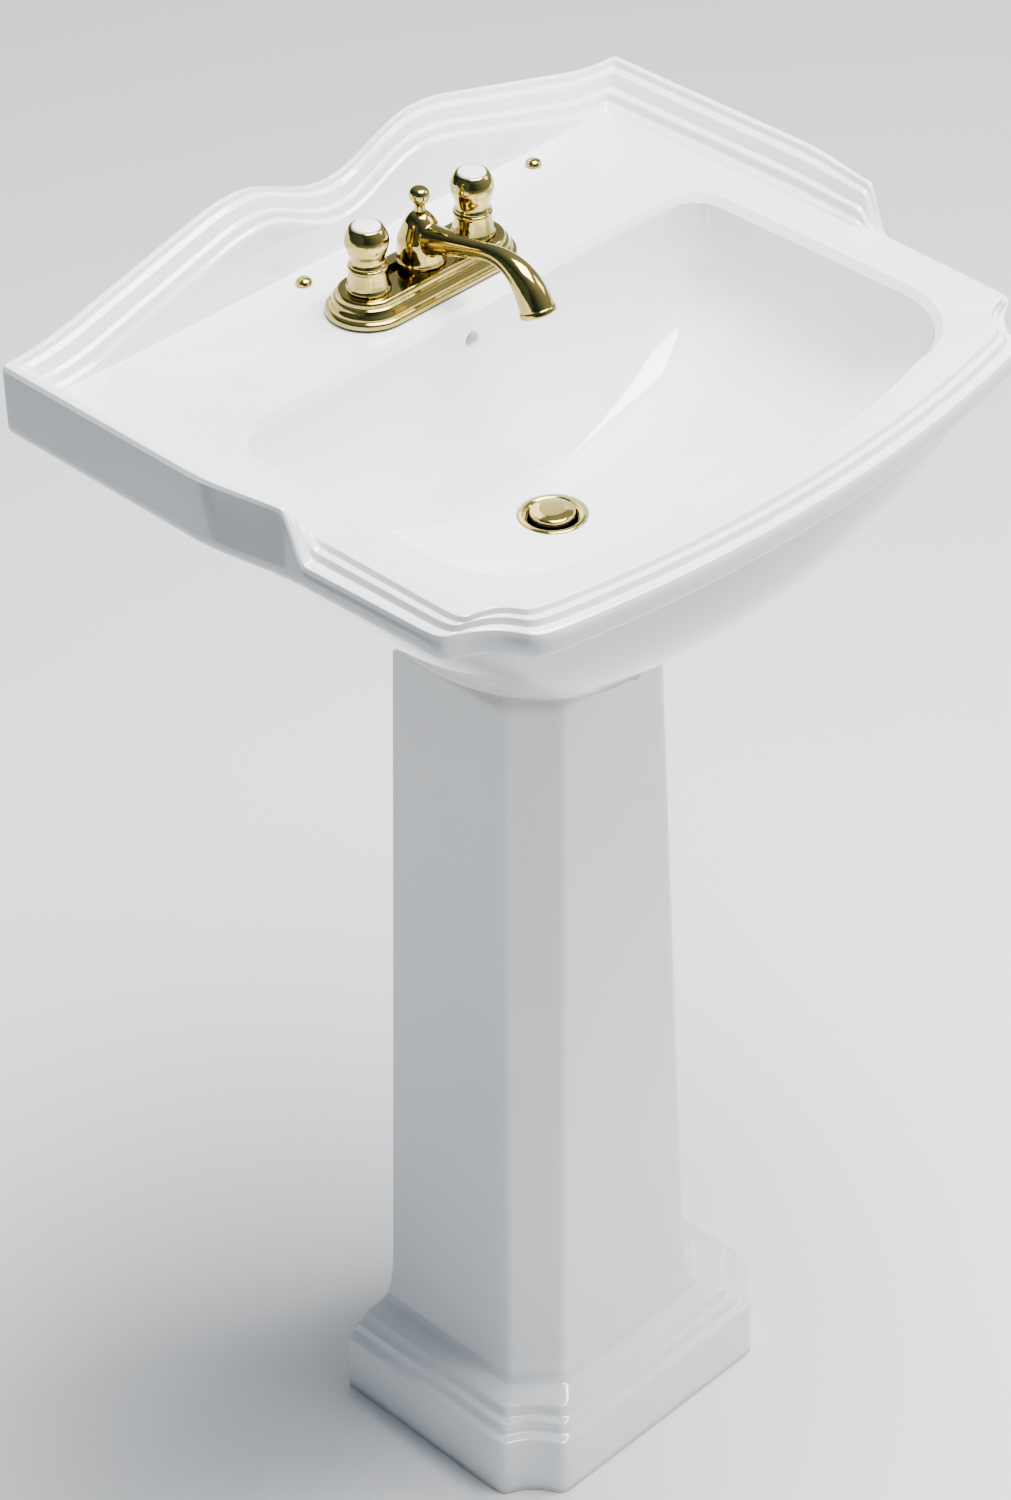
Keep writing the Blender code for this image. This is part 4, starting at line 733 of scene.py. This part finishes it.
def tube_points(path, radii, segments):
    """Circles of each radius about a path in a plane of constant x: one row per path point."""
    path, radii = np.asarray(path), np.asarray(radii).reshape(-1, 1, 1)
    tangent = np.gradient(path, axis=0)
    tangent /= np.linalg.norm(tangent, axis=1, keepdims=True)
    across = np.array([1.0, 0.0, 0.0])
    up = np.cross(tangent, across)
    angle = np.linspace(0, math.tau, segments, endpoint=False)
    circle = np.cos(angle)[None, :, None] * across + np.sin(angle)[None, :, None] * up[:, None]
    return path[:, None] + radii * circle


def closed_tube(path, radii, segments=64):
    """A tube whose ends are closed by rows that shrink onto the path's end points."""
    points = tube_points(path, radii, segments)
    ends = [np.broadcast_to(np.array(path[k]), (1, segments, 3)) for k in (0, -1)]
    return np.concatenate([ends[0], points, ends[1]])


def make_spout():
    """The spout with its outlet bored, the bore for the lift rod, a collar and a shell."""
    stations = curve_through([(80, 29.5, 10.6), (91, 32, 9), (101, 34.2, 7.4), (112, 36.7, 6),
                              (124, 39.5, 5.2), (135, 41.8, 5.2), (145, 42, 6), (153.5, 39.8, 7.2),
                              (160.5, 35.5, 8.4), (166, 29.8, 9.3), (169.4, 24, 9.8),
                              (171.2, 20, 10)], 90) * MM
    path = np.stack([0 * stations[:, 0], WALL_Y - stations[:, 0], DECK_Z + stations[:, 1]], axis=1)
    arm = closed_tube(path, stations[:, 2])
    body = rounded([(0, 15.3), (14.4, 15.3), (14.7, 16.5), (13.8, 18), (13.7, 24), (13.7, 29),
                    (12.9, 32), (11.6, 34.8), (10.4, 37.5), (8.8, 41), (6.6, 44), (4.4, 45.8),
                    (0, 46.5)], 1.4)
    rows = turned_points(body, (0, TAP_Y, DECK_Z), (0, 0, 1), DISC)
    faces = np.concatenate([grid_faces(*rows.shape[:2], False, True),
                            grid_faces(*arm.shape[:2], False, True) + rows[..., 0].size])
    points = np.concatenate([rows.reshape(-1, 3), arm.reshape(-1, 3)])
    spout = make_piece("curved_spout", points, faces, brass)
    fuse = spout.modifiers.new("fuse", "REMESH")
    fuse.mode = "VOXEL"
    fuse.voxel_size = 0.55 * MM
    blend = spout.modifiers.new("blend", "SMOOTH")
    blend.factor = 0.6
    blend.iterations = 16
    bpy.context.view_layer.update()
    mesh = bpy.data.meshes.new_from_object(spout.evaluated_get(
        bpy.context.evaluated_depsgraph_get()))
    spout.modifiers.clear()
    spout.data = mesh
    mesh.shade_smooth()
    outlet, before = Vector(path[-1]), Vector(path[-3])
    down = (outlet - before).normalized()
    rod_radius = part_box("lift_rod")[1][0] + 0.4 * MM
    cut_through(spout, [plug(outlet - down * 8.5 * MM, outlet + down * 3 * MM, 8.3 * MM),
                        plug((0, TAP_Y, DECK_Z + 10 * MM), (0, TAP_Y, DECK_Z + 50 * MM), rod_radius)])
    spout.data.set_sharp_from_angle(angle=math.radians(50))
    stand_in(spout, "root", "polished_brass", "spout")
    collar = ring_profile([(8.3, -1.5), (10.2, -1.5), (10.7, -0.6), (10.7, 1.6), (10.1, 2.4),
                           (8.3, 2.4)], 0.6)
    stand_in(turned("outlet_collar", collar, outlet, brass, down), "root", "polished_brass")
    shell = ring_profile([(6.8, -8.6), (8, -8.6), (8, 2.2), (7.4, 2.9), (5.9, 2.9), (5.9, 1.6),
                          (6.8, 1.6)], 0.4)
    stand_in(turned("outlet_shell", shell, outlet, brass, down), "root", "polished_brass",
             "aerator_shell")


make_spout()

# The lift knob is a small turned brass finial on the rod behind the spout's dome.
finial = rounded([(0, 46.8), (3.4, 46.8), (3.1, 48.4), (3.0, 50), (3.4, 51.8), (4.8, 53.0),
                  (5.7, 55.0), (5.9, 57.2), (5.4, 59.4), (3.9, 60.9), (1.8, 61.4), (0, 61.5)], 1.2)
stand_in(turned("lift_finial", finial, (0, TAP_Y, DECK_Z), brass), "lift_rod", "polished_brass",
         "lift_knob")

# Two dome-headed brass screws hold the basin down to the wall brackets.
for node in ("fixing_screw_left", "fixing_screw_right"):
    low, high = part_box(node)
    middle = ((low[0] + high[0]) / 2, (low[1] + high[1]) / 2, DECK_Z)
    foot = (low[2] - DECK_Z) / MM
    dome = rounded([(0, foot), (3, foot), (3, .3), (5, .3), (5, 1.3), (4.3, 3), (2.4, 4.1),
                    (0, 4.4)], 0.9)
    stand_in(turned(f"domed_{node}", dome, middle, brass, segments=48), "root",
             "polished_brass", node)


# ---------------------------------------------------------------- pop-up waste
# A brass flange lines the waste and a low domed plug sits in it, raised a little so that water
# can pass. Under the basin the threaded body carries the port for the pivot rod.

# The plug stands up by the lift rod's travel of 10 mm, reduced by the pivot rod's two arms.
LIFT = 10 * 24 / 77.6
WASTE = (0, WASTE_Y, WASTE_Z)
flange = ring_profile([(15, -2.2), (20, -2.2), (20.2, -1.2), (19.4, -0.1), (17.4, 0.3),
                       (15.6, -0.9), (14.1, -2.2), (13.7, -4), (13.6, -41.5), (15, -41.5)], 0.8)
stand_in(turned("waste_flange", flange, WASTE, brass), "root", "polished_brass", "drain_flange")

eye = (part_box("stopper")[0][2] - WASTE_Z) / MM
dome = rounded([(0, eye), (4.6, eye), (4.6, -12), (6, -7.5 + LIFT), (10.2, -5.3 + LIFT),
                (10.2, -2.8 + LIFT), (13.1, -2.6 + LIFT), (13.3, -1.7 + LIFT), (12.3, -0.5 + LIFT),
                (8, 0.6 + LIFT), (0, 1.1 + LIFT)], 1.0)
stopper = turned("domed_plug", dome, WASTE, brass)
eye_z = WASTE_Z + (eye + 7) * MM
cut_through(stopper, [plug((0, WASTE_Y - 7 * MM, eye_z), (0, WASTE_Y + 7 * MM, eye_z), 3.6 * MM)])
stand_in(stopper, "stopper", "polished_brass", "stopper")


def threaded(name, outer, bore, start, end, pitch, base, material, segments=72):
    """A pipe with a real thread: its radius rises and falls with height less a turn's share."""
    depth = 0.3 * MM
    height = np.linspace(start, end, int(abs(end - start) / pitch * 8))[:, None]
    angle = np.linspace(0, math.tau, segments, endpoint=False)[None, :]
    wave = 2 * np.abs((height / pitch - angle / math.tau) % 1.0 - 0.5)
    fade = smooth((height - start) / (2 * pitch)) * smooth((end - height) / (2 * pitch))
    outside = outer - depth * wave * fade
    radius = np.concatenate([outside, np.full((2, segments), bore)])
    level = np.concatenate([np.broadcast_to(height, outside.shape),
                            np.full((1, segments), end), np.full((1, segments), start)])
    points = np.stack([base[0] + radius * np.cos(angle), base[1] + radius * np.sin(angle),
                       base[2] + level], axis=-1)
    return make_piece(name, points, grid_faces(*radius.shape, True, True), material, 60)


BALL_Z = WASTE_Z - 62 * MM
body = threaded("threaded_waste_body", 16.4 * MM, 15.3 * MM, -70 * MM, -3 * MM, 2.2 * MM, WASTE, brass)
cut_through(body, [plug((0, WASTE_Y, BALL_Z), (0, WASTE_Y + 25 * MM, BALL_Z), 7 * MM)])
stand_in(body, "root", "polished_brass", "drain_body")
lower = ring_profile([(13.2, -112), (14.6, -112), (16.8, -111), (16.8, -74), (16.2, -70),
                      (13.2, -70)], 0.8)
stand_in(turned("waste_body_cup", lower, WASTE, brass), "root", "polished_brass")
port = ring_profile([(6.9, 13.2), (9, 13.2), (9, 31), (6.9, 31)], 0.4)
stand_in(turned("pivot_port", port, (0, WASTE_Y, BALL_Z), brass, (0, 1, 0)), "root",
         "polished_brass")


def ribbed(name, profile, base, direction, ribs, material):
    """A turned nut whose widest part is gathered into ribs for gripping."""
    points = turned_points(profile, base, direction, 144)
    axis = np.array(Vector(direction).normalized())
    offset = points - np.array(base)
    along = (offset @ axis)[..., None] * axis
    out = offset - along
    widest = profile[:, 0].max()
    angle = np.linspace(0, math.tau, 144, endpoint=False)[None, :]
    grip = (profile[:, :1] > widest - 0.4 * MM) * 0.06 * np.maximum(np.cos(angle * ribs), -0.2)
    points = np.array(base) + along + out * (1 - grip[..., None])
    return make_piece(name, points, grid_faces(len(profile), 144, True, True), material, 45)


nut = ring_profile([(9.3, 25), (12.3, 25), (12.3, 35), (11.4, 36), (4.8, 36), (4.8, 32.6),
                    (7.6, 31.4), (9.3, 31.4)], 0.5)
stand_in(ribbed("pivot_cap_nut", nut, (0, WASTE_Y, BALL_Z), (0, 1, 0), 12, brass), "root",
         "polished_brass", "pivot_nut")


# ---------------------------------------------------------------- trap
# A brass tailpiece drops into a U trap, and an arched pipe leads from it down behind the column
# to a round flange on the floor. Slip nuts with gripping ribs hold the joints.

def hollow_tube(name, path, outer, inner, material, segments=72):
    """A pipe along a path, with an outer and an inner radius."""
    outside = tube_points(path, np.full(len(path), outer), segments)
    inside = tube_points(path, np.full(len(path), inner), segments)
    points = np.concatenate([outside, inside[::-1]])
    return make_piece(name, points, grid_faces(*points.shape[:2], True, True), material, 40)


TAIL_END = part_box("tailpiece")[0][2]
INLET_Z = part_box("trap_bend")[1][2]
BEND = 26 * MM
OUTLET_Y = WASTE_Y + 2 * BEND
sweep = np.linspace(0, math.pi, 60)
bend_y = WASTE_Y + BEND - BEND * np.cos(sweep)
bend_z = TAIL_END - 30 * MM - BEND * np.sin(sweep)
path = np.stack([np.zeros(62), np.concatenate([[WASTE_Y], bend_y, [OUTLET_Y]]),
                 np.concatenate([[INLET_Z], bend_z, [TAIL_END]])], axis=1)
stand_in(hollow_tube("trap_u_bend", path, 16 * MM, 14.7 * MM, brass), "root", "polished_brass",
         "trap_bend")
stand_in(turned("waste_tail", ring_profile([(13, 0), (14.3, 0), (14.3, 77), (13, 77)], 0.3),
                (0, WASTE_Y, TAIL_END), brass), "root", "polished_brass", "tailpiece")
for node, y, z in (("trap_inlet_nut", WASTE_Y, INLET_Z),
                   ("trap_union_nut", OUTLET_Y, TAIL_END)):
    slip = ring_profile([(16.3, -13), (20.4, -13), (20.5, -12), (20.5, 2.8), (19.5, 3.9),
                         (14.6, 3.9), (14.6, 1.9), (16.3, 1.9)], 0.6)
    stand_in(ribbed(f"ribbed_{node}", slip, (0, y, z), (0, 0, 1), 18, brass), "root",
             "polished_brass", node)
ARCH = 22 * MM
arch_y = OUTLET_Y + ARCH * (1 - np.cos(sweep))
arch_z = TAIL_END + 14 * MM + ARCH * np.sin(sweep)
path = np.stack([np.zeros(62), np.concatenate([[OUTLET_Y], arch_y, arch_y[-1:]]),
                 np.concatenate([[TAIL_END - 16 * MM], arch_z, [0.5 * MM]])], axis=1)
stand_in(hollow_tube("trap_drop_pipe", path, 14.3 * MM, 13 * MM, brass), "root",
         "polished_brass", "trap_arm")
rosette = ring_profile([(14.6, 0), (31, 0), (31, 1.2), (29.4, 3.4), (23, 5.4), (18.4, 7.8),
                        (16.6, 11.8), (14.6, 12)], 1.0)
stand_in(turned("floor_rosette", rosette, (0, arch_y[-1], 0), brass), "root", "polished_brass",
         "floor_flange")


# ---------------------------------------------------------------- small fittings
# Nuts, washers, rods and brackets keep their CAD shapes and take the finish of their own stock:
# black rubber, bright chrome, zinc plated steel, brass or grey plastic.

def rubber_finish():
    """Moulded black rubber with a fine grain."""
    finish = Finish("black_rubber")
    tone = finish.noise(300.0, 3.0)
    finish.two_tone(tone, 0.3, (0.018, 0.018, 0.019), 0.7, (0.04, 0.04, 0.042))
    finish.feed("Roughness", 0.5 + tone * 0.25)
    finish.bump(tone, 0.05 * MM, 0.5)
    return finish.material


def chrome_finish():
    """Bright chrome plate with faint smears."""
    finish = Finish("bright_chrome", metallic=1.0)
    smear = finish.noise(80.0, 4.0, 0.6)
    finish.two_tone(smear, 0.3, (0.70, 0.71, 0.73), 0.7, (0.80, 0.81, 0.83))
    finish.feed("Roughness", 0.06 + smear * 0.12)
    return finish.material


def zinc_finish():
    """Zinc plate with its crystal pattern."""
    finish = Finish("zinc_plate", metallic=1.0)
    crystal = finish.node("TexVoronoi", {}, {"Scale": 260.0, "Vector": finish.place()})
    finish.two_tone(crystal, 0.0, (0.45, 0.46, 0.47), 0.8, (0.66, 0.67, 0.68))
    finish.feed("Roughness", 0.28 + crystal * 0.25)
    return finish.material


def plastic_finish():
    """Grey plastic with a fine mesh of dark openings."""
    finish = Finish("grey_plastic")
    cell = finish.node("TexVoronoi", {"feature": "DISTANCE_TO_EDGE"},
                       {"Scale": 900.0, "Vector": finish.place()})
    finish.two_tone(cell, 0.0, (0.5, 0.5, 0.5), 0.3, (0.08, 0.08, 0.08))
    finish.feed("Roughness", 0.45 + cell * 0.2)
    return finish.material


finishes = {"china": china, "polished_brass": brass, "button_white": enamel,
            "rubber": rubber_finish(), "chrome": chrome_finish(),
            "zinc_steel": zinc_finish(), "screen_plastic": plastic_finish()}
for part in frame["record"]["subparts"]:
    mesh = frame["nodes"][part["node"]].data
    mesh.materials.clear()
    mesh.materials.append(finishes[part["material_slot"]])


# ---------------------------------------------------------------- floor, light and camera
# A white floor under a bright sky that falls to dark grey on the left, so that metal and glaze
# have something dark to reflect, with a dark card on the left and soft boxes above and right.

def stage_sheet(name, corners, material):
    """A flat sheet that belongs to the stage, not to the object."""
    mesh = bpy.data.meshes.new(name)
    mesh.from_pydata(corners, [], [[0, 1, 2, 3]])
    mesh.materials.append(material)
    sheet = bpy.data.objects.new(name, mesh)
    bpy.context.scene.collection.objects.link(sheet)
    return sheet


def make_floor():
    """A wide pale floor, half a millimetre under the object."""
    finish = Finish("pale_floor", roughness=0.9, specular_ior_level=0.1)
    tone = finish.noise(3.0, 2.0)
    finish.two_tone(tone, 0.0, (0.86, 0.86, 0.87), 1.0, (0.88, 0.88, 0.89))
    reach = 14.0
    drop = -0.5 * MM
    stage_sheet("floor", [(-reach, -reach, drop), (reach, -reach, drop), (reach, reach, drop),
                          (-reach, reach, drop)], finish.material)


def make_sky():
    """White from above and the right, cool and dim from the left and low down."""
    world = bpy.data.worlds.new("studio")
    world.use_nodes = True
    bpy.context.scene.world = world
    tree = world.node_tree
    ahead = tree.nodes.new("ShaderNodeTexCoord")
    split = tree.nodes.new("ShaderNodeSeparateXYZ")
    tree.links.new(ahead.outputs["Generated"], split.inputs[0])
    x, y, z = (Value(tree, socket) for socket in split.outputs)
    brightness = x * 0.42 + z * 0.34 - y * 0.1 + 0.36
    ramp = tree.nodes.new("ShaderNodeValToRGB")
    stops = [(0.0, (0.03, 0.05, 0.07)), (0.3, (0.06, 0.10, 0.14)), (0.52, (0.26, 0.33, 0.40)),
             (0.85, (0.85, 0.88, 0.93))]
    while len(ramp.color_ramp.elements) < len(stops):
        ramp.color_ramp.elements.new(0.5)
    for element, (position, colour) in zip(ramp.color_ramp.elements, stops):
        element.position = position
        element.color = (*colour, 1.0)
    tree.links.new(brightness.socket, ramp.inputs[0])
    background = tree.nodes["Background"]
    tree.links.new(ramp.outputs[0], background.inputs["Color"])
    background.inputs["Strength"].default_value = 0.8


def dark_card():
    """A tall dark card to the left that keeps light off the left faces; cameras see through it."""
    finish = Finish("card", roughness=0.9, specular_ior_level=0.1)
    tone = finish.noise(2.0, 2.0)
    finish.two_tone(tone, 0.0, (0.03, 0.045, 0.055), 1.0, (0.04, 0.055, 0.065))
    corners = [(-1.15, -0.6, 0.02), (-1.15, 1.8, 0.02), (-1.15, 1.8, 1.7), (-1.15, -0.6, 1.7)]
    card = stage_sheet("card", corners, finish.material)
    card.visible_camera = False


def soft_box(name, place, aim, width, height, power, colour):
    """A rectangular area light at a place, facing a point."""
    light = bpy.data.lights.new(name, "AREA")
    light.shape = "RECTANGLE"
    light.size, light.size_y = width, height
    light.energy = power
    light.color = colour
    lamp = bpy.data.objects.new(name, light)
    lamp.location = place
    lamp.rotation_euler = (Vector(aim) - Vector(place)).to_track_quat("-Z", "Y").to_euler()
    bpy.context.scene.collection.objects.link(lamp)


def make_camera(place, azimuth, elevation, roll, focal, shift):
    """A camera at a place, looking down along azimuth and elevation, turned by a small roll."""
    offset = Vector((math.sin(azimuth) * math.cos(elevation),
                     -math.cos(azimuth) * math.cos(elevation), math.sin(elevation)))
    right = (-offset).cross(Vector((0, 0, 1))).normalized()
    up = right.cross(-offset)
    tilted_right = math.cos(roll) * right + math.sin(roll) * up
    tilted_up = math.cos(roll) * up - math.sin(roll) * right
    camera = bpy.data.cameras.new("camera")
    camera.lens = focal
    camera.shift_x, camera.shift_y = shift
    item = bpy.data.objects.new("camera", camera)
    item.matrix_world = Matrix.Translation(place) @ Matrix(
        (tilted_right, tilted_up, offset)).transposed().to_4x4()
    bpy.context.scene.collection.objects.link(item)
    bpy.context.scene.camera = item


make_floor()
make_sky()
dark_card()
soft_box("overhead", (0.35, -0.25, 2.5), (0, 0, 0.6), 1.2, 1.2, 165, (1.0, 0.995, 0.98))
soft_box("right_fill", (2.2, -1.2, 2.1), (0, 0, 0.6), 0.9, 1.2, 34, (0.96, 0.96, 1.0))
make_camera(Vector((-1.4398, -1.4128, 2.0435)), -0.780, 0.664, -0.0182, 103.1, (-0.0076, 0.0389))
